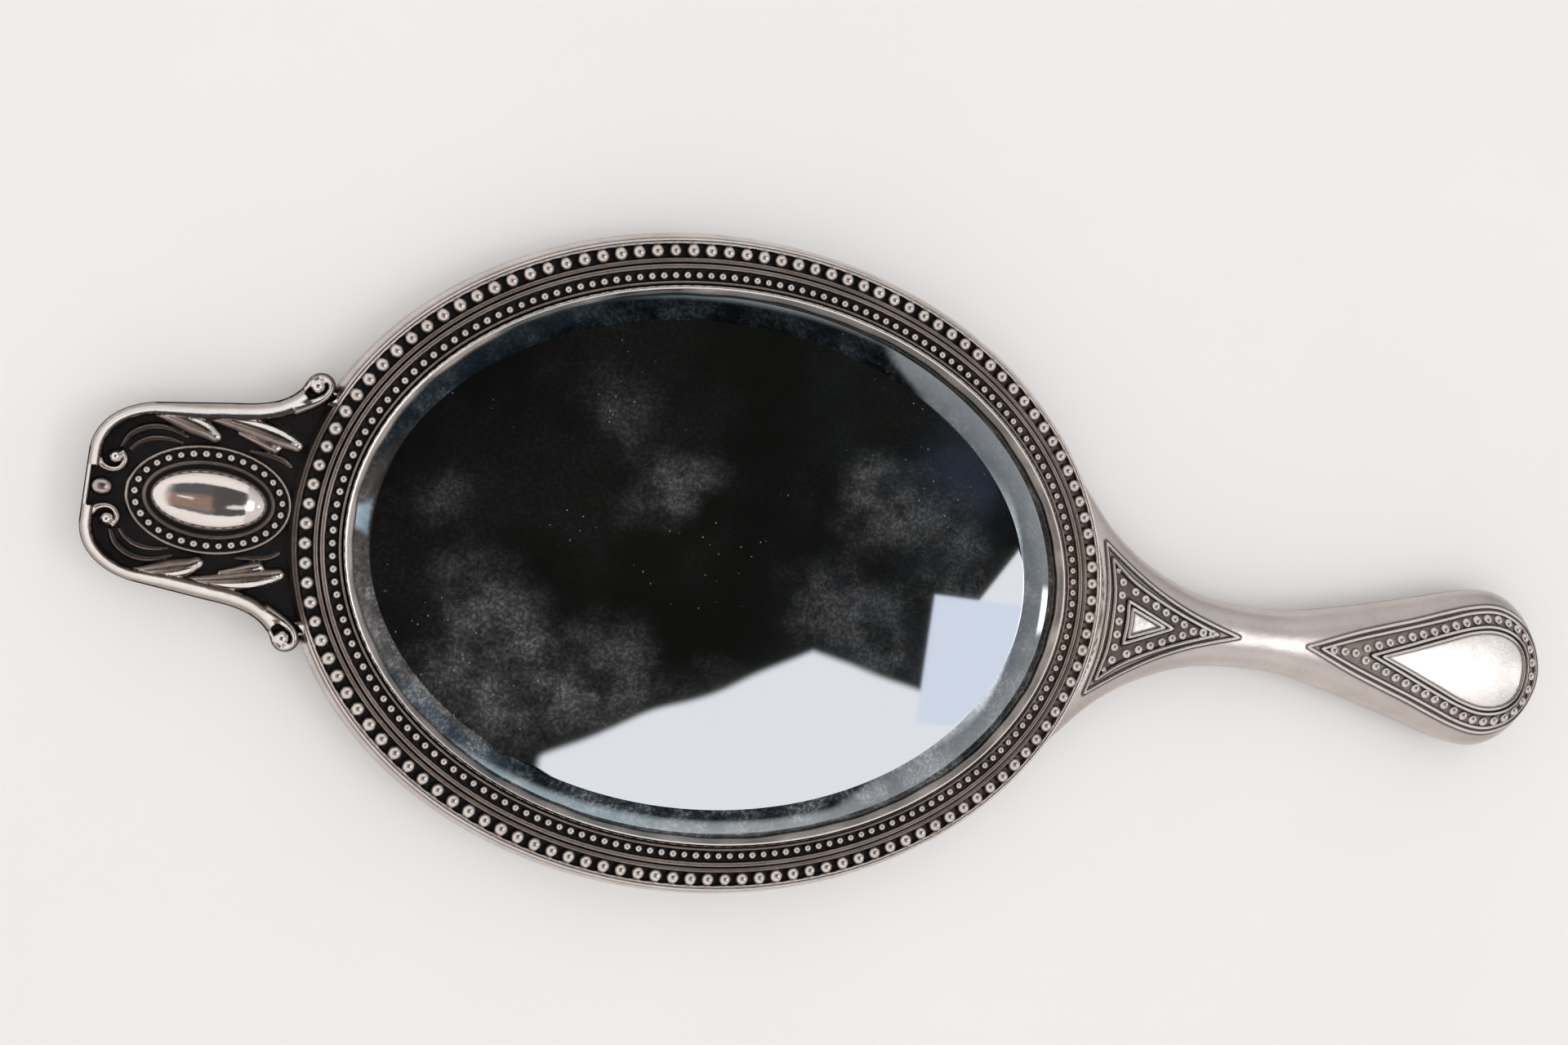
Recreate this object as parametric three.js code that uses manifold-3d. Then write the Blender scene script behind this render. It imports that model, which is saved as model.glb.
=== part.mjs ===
// Antique silver dressing-table hand mirror, lying on its back with the glass facing up.
// Millimetres. +Z points out of the glass, the handle runs towards +X and the crest towards -X.
// Shapes are drawn about the centre of the oval head; the last group moves them so that the
// origin is under the middle of the whole mirror, on the surface that it lies on.

import * as THREE from "three";
import { mergeVertices } from "three/addons/utils/BufferGeometryUtils.js";
import Module from "manifold-3d";

const wasm = await Module();
wasm.setup();

// ---------------------------------------------------------------- driving dimensions

// The oval that the large beads follow. Every part of the head is an offset from it.
const OVAL_A = 70.15;
const OVAL_B = 53.35;
const OVAL_SEGMENTS = 48;

const CREST_END_X = -102.6;
const HANDLE_END_X = 178.3;
const HEAD_CENTRE_X = -(CREST_END_X + HANDLE_END_X) / 2;

const SEAM_Z = 6;            // height at which the front and back shells meet
const GAP = 0.3;             // clearance between neighbouring pieces
const WALL = 0.8;            // thickness of the silver sheet

// Offsets from the bead oval, positive outwards
const EDGE_OFFSET = 3.2;
const RIM_JOIN_OFFSET = 1.4;     // the crest and the handle run up to here above the seam
const CREST_GROUND_OFFSET = 1.9; // the sunk ground of the crest runs up to here
const OPENING_OFFSET = -5.5;
const BEZEL_LIP_OFFSET = -7.1;
const GLASS_OFFSET = -6.6;
const BACKING_OFFSET = -7;
const CORE_OFFSET = -6.5;
const FIELD_OFFSET = -14;    // edge of the flat field in the middle of the back
const SMALL_BEAD_OFFSET = -4.25;

// Heights of the two channels that the rim's beads lie in
const CHANNEL_FLOOR = 9;
const INNER_CHANNEL_FLOOR = 9.7;

// The layers inside the head, from the back shell up to the glass
const CORE_BOTTOM = WALL + GAP;
const CORE_TOP = 4.3;
const FELT_THICKNESS = 0.8;
const CARD_THICKNESS = 0.6;
const COATING_THICKNESS = 0.2;
const GLASS_THICKNESS = 2.8;
const BEVEL_WIDTH = 5;
const BEVEL_DROP = 1;
const FELT_BOTTOM = CORE_TOP + GAP;
const CARD_BOTTOM = FELT_BOTTOM + FELT_THICKNESS + GAP;
const COATING_BOTTOM = CARD_BOTTOM + CARD_THICKNESS + GAP;
const GLASS_BOTTOM = COATING_BOTTOM + COATING_THICKNESS + GAP;
const GLASS_TOP = GLASS_BOTTOM + GLASS_THICKNESS;

const LARGE_BEAD_RADIUS = 1;
const SMALL_BEAD_RADIUS = 0.7;
const PANEL_BEAD_RADIUS = 0.7;
const BACK_BEAD_RADIUS = 0.9;
const WIRE_SIDES = 6;        // sides of the plain rings that stand for the beaded wires

const BOSS_X = -84.7;        // middle of the domed oval on the crest
const BOSS_A = 8.6;
const BOSS_B = 4.7;
const BOSS_HEIGHT = 2.7;
const CREST_BEAD_A = 10.9;
const CREST_BEAD_B = 7.1;
const CREST_BOTTOM = 2.4;
const CREST_TOP = 9.4;
const CREST_GROUND = 8.2;
const CREST_BORDER = 2.4;

const HANDLE_ROOT_X = 62;    // where the handle starts inside the head
const HANDLE_WIDEST_X = 163;
const HANDLE_SECTION_SIDES = 24;

const TANG_PALM = { start: 30, end: 67, halfWidth: 5, bottom: 2.9, top: CORE_TOP };
const TANG_ROD = { start: 64.8, end: 150, halfWidth: 2.4, bottom: 4.1, top: 7.5 };
const TANG_SCREW_X = [38, 54];
const SCREW_SHANK_RADIUS = 1;
const SCREW_HEAD_RADIUS = 1.9;
const SCREW_HEAD_DEPTH = 0.7;
const SCREW_TIP_Z = 1.6;
const SCREW_SIDES = 12;

const FAR = 400;             // longer than the mirror, for cutting with half spaces

// ---------------------------------------------------------------- materials

function finish(color, roughness, metalness) {
  return new THREE.MeshStandardMaterial({ color, roughness, metalness });
}

const satinSilver = () => finish(0xb5a9a5, 0.35, 1);
const brightSilver = () => finish(0xd8d2cc, 0.18, 1);
const agedSilver = () => finish(0x8f8681, 0.4, 1);
const mirrorGlass = () => finish(0x28303a, 0.03, 0.9);
const silverCoating = () => finish(0xc9ccd0, 0.1, 1);
const greyCard = () => finish(0x8d8577, 0.95, 0);
const darkFelt = () => finish(0x4a2530, 1, 0);
const plainWood = () => finish(0xa37b4f, 0.8, 0);
const blackPitch = () => finish(0x2b2320, 0.85, 0);
const darkIron = () => finish(0x55524f, 0.6, 1);

// ---------------------------------------------------------------- solids

// The tidy position-only mesh that a boolean needs
function toSolid(geometry) {
  const bare = geometry.clone();
  bare.deleteAttribute("normal");
  bare.deleteAttribute("uv");
  const merged = mergeVertices(bare, 1e-4);
  return new wasm.Manifold(new wasm.Mesh({
    numProp: 3,
    vertProperties: new Float32Array(merged.attributes.position.array),
    triVerts: new Uint32Array(merged.index.array),
  }));
}

function toGeometry(solid) {
  const mesh = solid.getMesh();
  const geometry = new THREE.BufferGeometry();
  geometry.setAttribute("position", new THREE.BufferAttribute(mesh.vertProperties, 3));
  geometry.setIndex(new THREE.BufferAttribute(mesh.triVerts, 1));
  geometry.computeVertexNormals();
  return geometry;
}

function joined(...geometries) {
  return toGeometry(geometries.map(toSolid).reduce((whole, next) => whole.add(next)));
}

function cut(geometry, ...cutters) {
  return toGeometry(cutters.map(toSolid).reduce((whole, next) => whole.subtract(next), toSolid(geometry)));
}

function common(geometry, other) {
  return toGeometry(toSolid(geometry).intersect(toSolid(other)));
}

function box(low, high) {
  const size = high.map((value, axis) => value - low[axis]);
  const geometry = new THREE.BoxGeometry(...size);
  return geometry.translate(...low.map((value, axis) => value + size[axis] / 2));
}

function block({ start, end, halfWidth, bottom, top }, clearance = 0) {
  return box(
    [start - clearance, -halfWidth - clearance, bottom - clearance],
    [end + clearance, halfWidth + clearance, top + clearance],
  );
}

const above = (z) => box([-FAR, -FAR, z], [FAR, FAR, FAR]);
const below = (z) => box([-FAR, -FAR, -FAR], [FAR, FAR, z]);

// Quads between neighbouring loops of equal length; a closed sweep also joins the last to the first
function skinLoops(loops, closed) {
  const sides = loops[0].length;
  const spans = closed ? loops.length : loops.length - 1;
  const positions = loops.flat().flatMap((point) => [point.x, point.y, point.z]);
  const index = [];
  for (let span = 0; span < spans; span += 1) {
    for (let side = 0; side < sides; side += 1) {
      const next = (side + 1) % sides;
      const here = span * sides;
      const there = ((span + 1) % loops.length) * sides;
      index.push(here + side, here + next, there + next);
      index.push(here + side, there + next, there + side);
    }
  }
  return { positions, index };
}

function buildGeometry(positions, index) {
  const geometry = new THREE.BufferGeometry();
  geometry.setAttribute("position", new THREE.Float32BufferAttribute(positions, 3));
  geometry.setIndex(index);
  geometry.computeVertexNormals();
  return geometry;
}

// A solid skinned over loops, with each end closed by a fan to the middle of its loop
function loft(loops) {
  const { positions, index } = skinLoops(loops, false);
  const sides = loops[0].length;
  const ends = [
    { loop: loops[0], first: 0, flip: true },
    { loop: loops[loops.length - 1], first: (loops.length - 1) * sides, flip: false },
  ];
  for (const { loop, first, flip } of ends) {
    const middle = loop.reduce((sum, point) => sum.add(point), new THREE.Vector3()).divideScalar(sides);
    const centre = positions.length / 3;
    positions.push(middle.x, middle.y, middle.z);
    for (let side = 0; side < sides; side += 1) {
      const next = (side + 1) % sides;
      const pair = flip ? [first + next, first + side] : [first + side, first + next];
      index.push(centre, ...pair);
    }
  }
  return buildGeometry(positions, index);
}

// ---------------------------------------------------------------- the oval head

function ovalPoint(turn, offset, z) {
  const cos = Math.cos(turn);
  const sin = Math.sin(turn);
  const outward = new THREE.Vector2(cos / OVAL_A, sin / OVAL_B).normalize();
  return new THREE.Vector3(OVAL_A * cos + outward.x * offset, OVAL_B * sin + outward.y * offset, z);
}

function ovalLoop(offset, z) {
  const loop = [];
  for (let step = 0; step < OVAL_SEGMENTS; step += 1) {
    loop.push(ovalPoint((step / OVAL_SEGMENTS) * 2 * Math.PI, offset, z));
  }
  return loop;
}

// A solid oval turned from [offset, height] pairs that run from its bottom to its top
function ovalSolid(profile) {
  return loft(profile.map(([offset, z]) => ovalLoop(offset, z)));
}

function ovalPlate(offset, bottom, top) {
  return ovalSolid([[offset, bottom], [offset, top]]);
}

// An oval ring whose section is a closed, anticlockwise list of [offset, height] pairs
function ovalRing(section) {
  const loops = [];
  for (let step = 0; step < OVAL_SEGMENTS; step += 1) {
    const turn = (step / OVAL_SEGMENTS) * 2 * Math.PI;
    loops.push(section.map(([offset, z]) => ovalPoint(turn, offset, z)).reverse());
  }
  const { positions, index } = skinLoops(loops, true);
  return buildGeometry(positions, index);
}

function roundSection(offset, z, radius) {
  const section = [];
  for (let side = 0; side < WIRE_SIDES; side += 1) {
    const turn = (side / WIRE_SIDES) * 2 * Math.PI;
    section.push([offset + radius * Math.cos(turn), z + radius * Math.sin(turn)]);
  }
  return section;
}

// From the flat field up the rounded edge of the dished back
const HEAD_BACK_PROFILE = [
  [FIELD_OFFSET, 0], [-8, 0.5], [-3, 1.6], [0.5, 3], [2.4, 4.6], [EDGE_OFFSET, SEAM_Z],
];

// From the seam over the rounded edge, the two bead channels and the ridges between them
const HEAD_FRONT_PROFILE = [
  [EDGE_OFFSET, 6.6], [2.6, 8.3], [1.8, 9.5], [1.4, 9.7], [1.25, CHANNEL_FLOOR],
  [-1.25, CHANNEL_FLOOR], [-1.5, 10.1], [-2.9, 10.3], [-3.3, INNER_CHANNEL_FLOOR],
  [-5.1, INNER_CHANNEL_FLOOR], [-5.3, 10.6], [-6, 10.6],
];

const HEAD_CAVITY_PROFILE = [
  [FIELD_OFFSET, WALL], [-8.3, 1.3], [-3.4, 2.4], [-0.1, 3.8], [1.6, 5.2], [2.3, SEAM_Z + 0.2],
  [2.3, 6.7], [1.7, 7.8], [1.1, CHANNEL_FLOOR - WALL], [-2, CHANNEL_FLOOR - WALL],
  [-2.5, INNER_CHANNEL_FLOOR - WALL], [-6, INNER_CHANNEL_FLOOR - WALL],
];

// ---------------------------------------------------------------- the handle

// Half width and half thickness of the handle at stations along it, up to its widest place
const HANDLE_STATIONS = [
  { x: HANDLE_ROOT_X, halfWidth: 29.5, halfDepth: 3 },
  { x: 68, halfWidth: 23.2, halfDepth: 3.4 },
  { x: 74, halfWidth: 17.2, halfDepth: 3.8 },
  { x: 80, halfWidth: 12.9, halfDepth: 4.1 },
  { x: 86, halfWidth: 9.9, halfDepth: 4.3 },
  { x: 92, halfWidth: 7.8, halfDepth: 4.5 },
  { x: 98, halfWidth: 6.6, halfDepth: 4.6 },
  { x: 107, halfWidth: 6.05, halfDepth: 4.7 },
  { x: 116, halfWidth: 6.4, halfDepth: 4.8 },
  { x: 128, halfWidth: 8.5, halfDepth: 4.9 },
  { x: 146, halfWidth: 12.7, halfDepth: 5.2 },
  { x: 156, halfWidth: 15.2, halfDepth: 5.4 },
  { x: HANDLE_WIDEST_X, halfWidth: 16.1, halfDepth: 5.4 },
];

// Half width and half thickness at any x: a smooth curve through the stations, then a round end
function handleSize(x) {
  const last = HANDLE_STATIONS[HANDLE_STATIONS.length - 1];
  if (x >= last.x) {
    const along = Math.min((x - last.x) / (HANDLE_END_X - last.x), 1);
    const shrink = Math.sqrt(1 - along * along);
    return { halfWidth: last.halfWidth * shrink, halfDepth: last.halfDepth * Math.sqrt(shrink) };
  }
  const right = HANDLE_STATIONS.findIndex((station) => station.x > x);
  const span = HANDLE_STATIONS.slice(right - 1, right + 1);
  const before = HANDLE_STATIONS[Math.max(right - 2, 0)];
  const after = HANDLE_STATIONS[Math.min(right + 1, HANDLE_STATIONS.length - 1)];
  const along = (x - span[0].x) / (span[1].x - span[0].x);
  const smooth = (key) => {
    const width = span[1].x - span[0].x;
    const startSlope = ((span[1][key] - before[key]) / (span[1].x - before.x)) * width;
    const endSlope = ((after[key] - span[0][key]) / (after.x - span[0].x)) * width;
    const a = 2 * span[0][key] - 2 * span[1][key] + startSlope + endSlope;
    const b = -3 * span[0][key] + 3 * span[1][key] - 2 * startSlope - endSlope;
    return ((a * along + b) * along + startSlope) * along + span[0][key];
  };
  return { halfWidth: smooth("halfWidth"), halfDepth: smooth("halfDepth") };
}

// The handle as a solid of oval sections, everywhere inset by the same amount
function handleSolid(inset, startX) {
  const straightSteps = 18;
  const endSteps = 7;
  const endTurn = THREE.MathUtils.degToRad(87);
  const stations = [];
  for (let step = 0; step < straightSteps; step += 1) {
    stations.push(startX + ((HANDLE_WIDEST_X - startX) * step) / straightSteps);
  }
  for (let step = 0; step < endSteps; step += 1) {
    const turn = (step / (endSteps - 1)) * endTurn;
    stations.push(HANDLE_WIDEST_X + (HANDLE_END_X - HANDLE_WIDEST_X) * Math.sin(turn));
  }
  const loops = stations.map((x) => {
    const { halfWidth, halfDepth } = handleSize(x);
    const shrink = x > HANDLE_WIDEST_X ? 1 - inset / (HANDLE_END_X - HANDLE_WIDEST_X) : 1;
    const insetX = HANDLE_WIDEST_X + (x - HANDLE_WIDEST_X) * shrink;
    const loop = [];
    for (let side = 0; side < HANDLE_SECTION_SIDES; side += 1) {
      const turn = (side / HANDLE_SECTION_SIDES) * 2 * Math.PI;
      const y = (halfWidth - inset) * Math.cos(turn);
      const z = SEAM_Z + (halfDepth - inset) * Math.sin(turn);
      loop.push(new THREE.Vector3(insetX, y, z));
    }
    return loop;
  });
  return loft(loops);
}

function handleTop(x, y) {
  const { halfWidth, halfDepth } = handleSize(x);
  return SEAM_Z + halfDepth * Math.sqrt(Math.max(1 - (y / halfWidth) ** 2, 0));
}

// ---------------------------------------------------------------- the crest

// Outline of the crest with its scroll ends against the rim, concave sides and rounded corners
function crestShape(inset) {
  const scroll = 22.2 - inset;
  const scrollEnd = -73.2 + inset;
  const side = 15.4 - inset;
  const shoulder = 13.8 - inset;
  const end = CREST_END_X + inset;
  const shape = new THREE.Shape();
  shape.moveTo(-60, scroll);
  shape.lineTo(-70.2, scroll);
  shape.quadraticCurveTo(scrollEnd, scroll, scrollEnd, 19.6 - inset);
  shape.bezierCurveTo(-75, 17 - inset, -78, side + 0.5, -83, side);
  shape.lineTo(-94, shoulder);
  shape.bezierCurveTo(-98.5, shoulder - 0.8, end, 10 - inset, end, 5);
  shape.lineTo(end, -5);
  shape.bezierCurveTo(end, inset - 10, -98.5, 0.8 - shoulder, -94, -shoulder);
  shape.lineTo(-83, -side);
  shape.bezierCurveTo(-78, -side - 0.5, -75, inset - 17, scrollEnd, inset - 19.6);
  shape.quadraticCurveTo(scrollEnd, -scroll, -70.2, -scroll);
  shape.lineTo(-60, -scroll);
  return shape;
}

function crestSlab(inset, bottom, top, rounding) {
  const geometry = new THREE.ExtrudeGeometry(crestShape(inset), {
    depth: top - bottom - 2 * rounding,
    curveSegments: 6,
    bevelEnabled: rounding > 0,
    bevelThickness: rounding,
    bevelSize: rounding,
    bevelOffset: -rounding,
    bevelSegments: 2,
  });
  return geometry.translate(0, 0, bottom + rounding);
}

// The sunk ground inside the crest's border, up to the outer ridge of the rim
function crestPocket() {
  const pocket = crestSlab(CREST_BORDER, CREST_GROUND, CREST_TOP + 1, 0);
  return cut(pocket, ovalPlate(CREST_GROUND_OFFSET, 0, CREST_TOP + 2));
}

// ---------------------------------------------------------------- silver pieces

function outerForm() {
  const head = ovalSolid([...HEAD_BACK_PROFILE, ...HEAD_FRONT_PROFILE]);
  const underRim = ovalPlate(RIM_JOIN_OFFSET, SEAM_Z, 20);
  const crest = cut(crestSlab(0, CREST_BOTTOM, CREST_TOP, 1), underRim);
  const handle = cut(handleSolid(0, HANDLE_ROOT_X), underRim);
  return cut(joined(head, crest, handle), crestPocket());
}

function innerForm() {
  const head = ovalSolid(HEAD_CAVITY_PROFILE);
  const crest = crestSlab(2 * WALL, CREST_BOTTOM + WALL, CREST_GROUND - WALL, 0);
  const handle = cut(handleSolid(WALL, HANDLE_ROOT_X), ovalPlate(EDGE_OFFSET, CHANNEL_FLOOR - WALL, 20));
  return joined(head, crest, handle);
}

function frontShell(shell) {
  return cut(common(shell, above(SEAM_Z + GAP / 2)), ovalPlate(OPENING_OFFSET, 0, 20));
}

function backShell(shell) {
  return common(shell, below(SEAM_Z - GAP / 2));
}

// Beaded wire lying in a channel of the rim
function rimBeadBorder(offset, floor, radius) {
  return ovalRing(roundSection(offset, floor + GAP + radius, radius));
}

const outerBeadBorder = () => rimBeadBorder(0, CHANNEL_FLOOR, LARGE_BEAD_RADIUS);
const innerBeadBorder = () => rimBeadBorder(SMALL_BEAD_OFFSET, INNER_CHANNEL_FLOOR, SMALL_BEAD_RADIUS);

// Beaded wire round the sloping edge of the back, clear of the surface that the mirror lies on
function backBeadBorder() {
  return ovalRing(roundSection(-0.8, 1.3, BACK_BEAD_RADIUS));
}

function glassBezel() {
  return ovalRing([
    [OPENING_OFFSET - GAP, 6.7], [OPENING_OFFSET - GAP, 10.9], [-6.6, 11], [BEZEL_LIP_OFFSET, 10],
    [BEZEL_LIP_OFFSET, 9.4], [-6.3, 9.4], [-6.3, 6.7],
  ]);
}

// A dome over an oval, with a flat underside
function crestBoss() {
  const profile = [new THREE.Vector2(0, 0)];
  const steps = 6;
  for (let step = 0; step <= steps; step += 1) {
    const turn = (step / steps) * (Math.PI / 2);
    const radius = step === steps ? 0 : Math.cos(turn);
    profile.push(new THREE.Vector2(radius, BOSS_HEIGHT * Math.sin(turn)));
  }
  const geometry = new THREE.LatheGeometry(profile, 28);
  geometry.rotateX(Math.PI / 2);
  geometry.scale(BOSS_A, BOSS_B, 1);
  return geometry.translate(BOSS_X, 0, CREST_GROUND + GAP);
}

// A round wire that follows a closed route
function wireLoop(points, radius, steps) {
  const route = new THREE.CatmullRomCurve3(points, true, "centripetal");
  const loops = [];
  for (let step = 0; step < steps; step += 1) {
    const at = route.getPointAt(step / steps);
    const along = route.getTangentAt(step / steps);
    const across = new THREE.Vector3(-along.y, along.x, 0).normalize();
    const up = new THREE.Vector3().crossVectors(along, across);
    const loop = [];
    for (let side = 0; side < WIRE_SIDES; side += 1) {
      const turn = (side / WIRE_SIDES) * 2 * Math.PI;
      const reach = across.clone().multiplyScalar(radius * Math.cos(turn));
      loop.push(at.clone().add(reach).addScaledVector(up, radius * Math.sin(turn)));
    }
    loops.push(loop);
  }
  const { positions, index } = skinLoops(loops, true);
  return buildGeometry(positions, index);
}

function crestBeadBorder() {
  const points = [];
  const steps = 24;
  for (let step = 0; step < steps; step += 1) {
    const turn = (step / steps) * 2 * Math.PI;
    const x = BOSS_X + CREST_BEAD_A * Math.cos(turn);
    const y = CREST_BEAD_B * Math.sin(turn);
    points.push(new THREE.Vector3(x, y, CREST_GROUND + GAP + PANEL_BEAD_RADIUS));
  }
  return wireLoop(points, PANEL_BEAD_RADIUS, 32);
}

// A bead border resting on the front of the handle; half an outline, mirrored across its middle line
function handleBeadBorder(halfOutline, steps) {
  const lower = halfOutline.filter(([, y]) => y !== 0).map(([x, y]) => [x, -y]).reverse();
  const lift = PANEL_BEAD_RADIUS + 2 * GAP;
  const outline = [...halfOutline, ...lower];
  const points = outline.map(([x, y]) => new THREE.Vector3(x, y, handleTop(x, y) + lift));
  return wireLoop(points, PANEL_BEAD_RADIUS, steps);
}

// The triangle of beads where the handle leaves the rim
const neckBeadBorder = () => handleBeadBorder(
  [[93.5, 0], [90, 1.6], [84, 3.6], [79, 5.8], [76.2, 7.6], [75.6, 3.5], [75.6, 0]], 30,
);

// The teardrop of beads on the grip
const gripBeadBorder = () => handleBeadBorder(
  [
    [131, 0], [135, 2.2], [143.4, 4.5], [150.7, 7.1], [158, 9.6],
    [163.3, 10.2], [169, 8.9], [173, 5.3], [174.5, 0],
  ],
  44,
);

// ---------------------------------------------------------------- glass and packing

function mirrorPlate() {
  return ovalSolid([
    [GLASS_OFFSET, GLASS_BOTTOM],
    [GLASS_OFFSET, GLASS_TOP - BEVEL_DROP],
    [GLASS_OFFSET - BEVEL_WIDTH, GLASS_TOP],
  ]);
}

// A round cutter with clearance, from the given height up past the top of the core
function screwCutter(x, radius, bottom) {
  const height = CORE_TOP + 1 - bottom;
  const cutter = new THREE.CylinderGeometry(radius + GAP, radius + GAP, height, SCREW_SIDES);
  return cutter.rotateX(Math.PI / 2).translate(x, 0, bottom + height / 2);
}

const screwHole = (x) => screwCutter(x, SCREW_SHANK_RADIUS, SCREW_TIP_Z - GAP);
const screwHeadSeat = (x) => screwCutter(x, SCREW_HEAD_RADIUS, CORE_TOP - SCREW_HEAD_DEPTH - GAP);

// A thin wooden board, chamfered below to lie in the dished back, with a slot for the tang
function headCore() {
  const board = ovalSolid([
    [FIELD_OFFSET - 0.6, CORE_BOTTOM], [-8.8, 1.7], [CORE_OFFSET, 2.3], [CORE_OFFSET, CORE_TOP],
  ]);
  const slot = block({ ...TANG_PALM, end: 80, top: CORE_TOP + 5 }, GAP);
  return cut(board, slot, ...TANG_SCREW_X.map(screwHole));
}

function rimFiller() {
  const ring = ovalRing([
    [-6.1, 2.5], [-3.6, 3.1], [-1, 4.3], [0.5, 5.6], [1.1, 6.4], [1.1, 7.4], [0.8, 7.8],
    [-5.2, 7.8], [-5.4, 6.3], [-6.1, 6.3],
  ]);
  const tangWay = { start: 50, end: 90, halfWidth: TANG_PALM.halfWidth, bottom: 0, top: 12 };
  return cut(ring, block(tangWay, 2 * GAP));
}

function crestFiller() {
  const slab = crestSlab(2 * WALL + 2 * GAP, CREST_BOTTOM + WALL + GAP, CREST_GROUND - WALL - GAP, 0);
  return cut(slab, ovalPlate(EDGE_OFFSET, 0, 20));
}

function handleFiller() {
  const core = common(handleSolid(WALL + 1.5 * GAP, HANDLE_ROOT_X), box([76, -FAR, 0], [FAR, FAR, FAR]));
  return cut(core, block(TANG_ROD, GAP));
}

// A flat palm screwed to the core, forged in one with the rod that runs down the handle
function handleTang() {
  const holes = TANG_SCREW_X.flatMap((x) => [screwHole(x), screwHeadSeat(x)]);
  return cut(joined(block(TANG_PALM), block(TANG_ROD)), ...holes);
}

function tangScrew(x) {
  const tip = 0.15;
  const profile = [
    [0, SCREW_TIP_Z], [tip, SCREW_TIP_Z], [SCREW_SHANK_RADIUS, SCREW_TIP_Z + 0.8],
    [SCREW_SHANK_RADIUS, CORE_TOP - SCREW_HEAD_DEPTH], [SCREW_HEAD_RADIUS, CORE_TOP - 0.2],
    [SCREW_HEAD_RADIUS, CORE_TOP], [0, CORE_TOP],
  ].map(([radius, z]) => new THREE.Vector2(radius, z));
  return new THREE.LatheGeometry(profile, SCREW_SIDES).rotateX(Math.PI / 2).translate(x, 0, 0);
}

// ---------------------------------------------------------------- the assembly

const mirror = new THREE.Group();
const parts = new THREE.Group();
parts.position.x = HEAD_CENTRE_X;
mirror.add(parts);

function addPart(name, geometry, material) {
  const mesh = new THREE.Mesh(geometry, material);
  mesh.name = name;
  parts.add(mesh);
}

function backingLayer(bottom, thickness) {
  return ovalPlate(BACKING_OFFSET, bottom, bottom + thickness);
}

const shell = cut(outerForm(), innerForm());

addPart("front_shell", frontShell(shell), satinSilver());
addPart("back_shell", backShell(shell), satinSilver());
addPart("glass_bezel", glassBezel(), brightSilver());
addPart("outer_bead_border", outerBeadBorder(), agedSilver());
addPart("inner_bead_border", innerBeadBorder(), agedSilver());
addPart("back_bead_border", backBeadBorder(), agedSilver());
addPart("crest_bead_border", crestBeadBorder(), agedSilver());
addPart("neck_bead_border", neckBeadBorder(), agedSilver());
addPart("grip_bead_border", gripBeadBorder(), agedSilver());
addPart("crest_boss", crestBoss(), brightSilver());
addPart("mirror_glass", mirrorPlate(), mirrorGlass());
addPart("silver_coating", backingLayer(COATING_BOTTOM, COATING_THICKNESS), silverCoating());
addPart("backing_card", backingLayer(CARD_BOTTOM, CARD_THICKNESS), greyCard());
addPart("felt_pad", backingLayer(FELT_BOTTOM, FELT_THICKNESS), darkFelt());
addPart("head_core", headCore(), plainWood());
addPart("handle_tang", handleTang(), darkIron());
TANG_SCREW_X.forEach((x, number) => addPart(`tang_screw_${number + 1}`, tangScrew(x), darkIron()));
addPart("rim_filler", rimFiller(), blackPitch());
addPart("crest_filler", crestFiller(), blackPitch());
addPart("handle_filler", handleFiller(), blackPitch());

export default mirror;
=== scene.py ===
"""Looks of an antique silver hand mirror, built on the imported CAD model.

Shapes are drawn in millimetres about the middle of the oval head, with +Z out of the glass, the
handle towards +X and the crest towards -X. metres() moves them into the frame of the CAD model.
"""

import math

import bpy
import numpy as np
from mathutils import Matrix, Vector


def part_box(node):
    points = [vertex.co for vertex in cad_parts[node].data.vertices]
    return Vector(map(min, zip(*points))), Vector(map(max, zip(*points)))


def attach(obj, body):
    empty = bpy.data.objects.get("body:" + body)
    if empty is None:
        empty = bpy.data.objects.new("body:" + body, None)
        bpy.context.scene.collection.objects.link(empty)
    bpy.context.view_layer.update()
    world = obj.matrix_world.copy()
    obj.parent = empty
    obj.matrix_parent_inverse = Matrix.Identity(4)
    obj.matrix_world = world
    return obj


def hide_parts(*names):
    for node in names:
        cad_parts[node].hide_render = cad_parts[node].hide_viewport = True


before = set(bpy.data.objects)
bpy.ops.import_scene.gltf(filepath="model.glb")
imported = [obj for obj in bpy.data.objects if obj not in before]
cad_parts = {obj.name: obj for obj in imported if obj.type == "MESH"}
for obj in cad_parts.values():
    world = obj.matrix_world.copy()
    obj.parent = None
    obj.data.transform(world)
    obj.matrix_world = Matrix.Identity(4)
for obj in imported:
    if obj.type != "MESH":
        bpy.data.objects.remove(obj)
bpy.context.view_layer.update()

MM = 0.001

# ---------------- sizes taken from the frame


def node_box(node):
    """Lowest and highest corner of a CAD node, in millimetres of the frame."""
    low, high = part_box(node)
    return np.array(low) / MM, np.array(high) / MM


GLASS_LOW, GLASS_HIGH = node_box("mirror_glass")
BEADS_LOW, BEADS_HIGH = node_box("outer_bead_border")
BOSS_LOW, BOSS_HIGH = node_box("crest_boss")
SHELL_LOW, SHELL_HIGH = node_box("front_shell")

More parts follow.
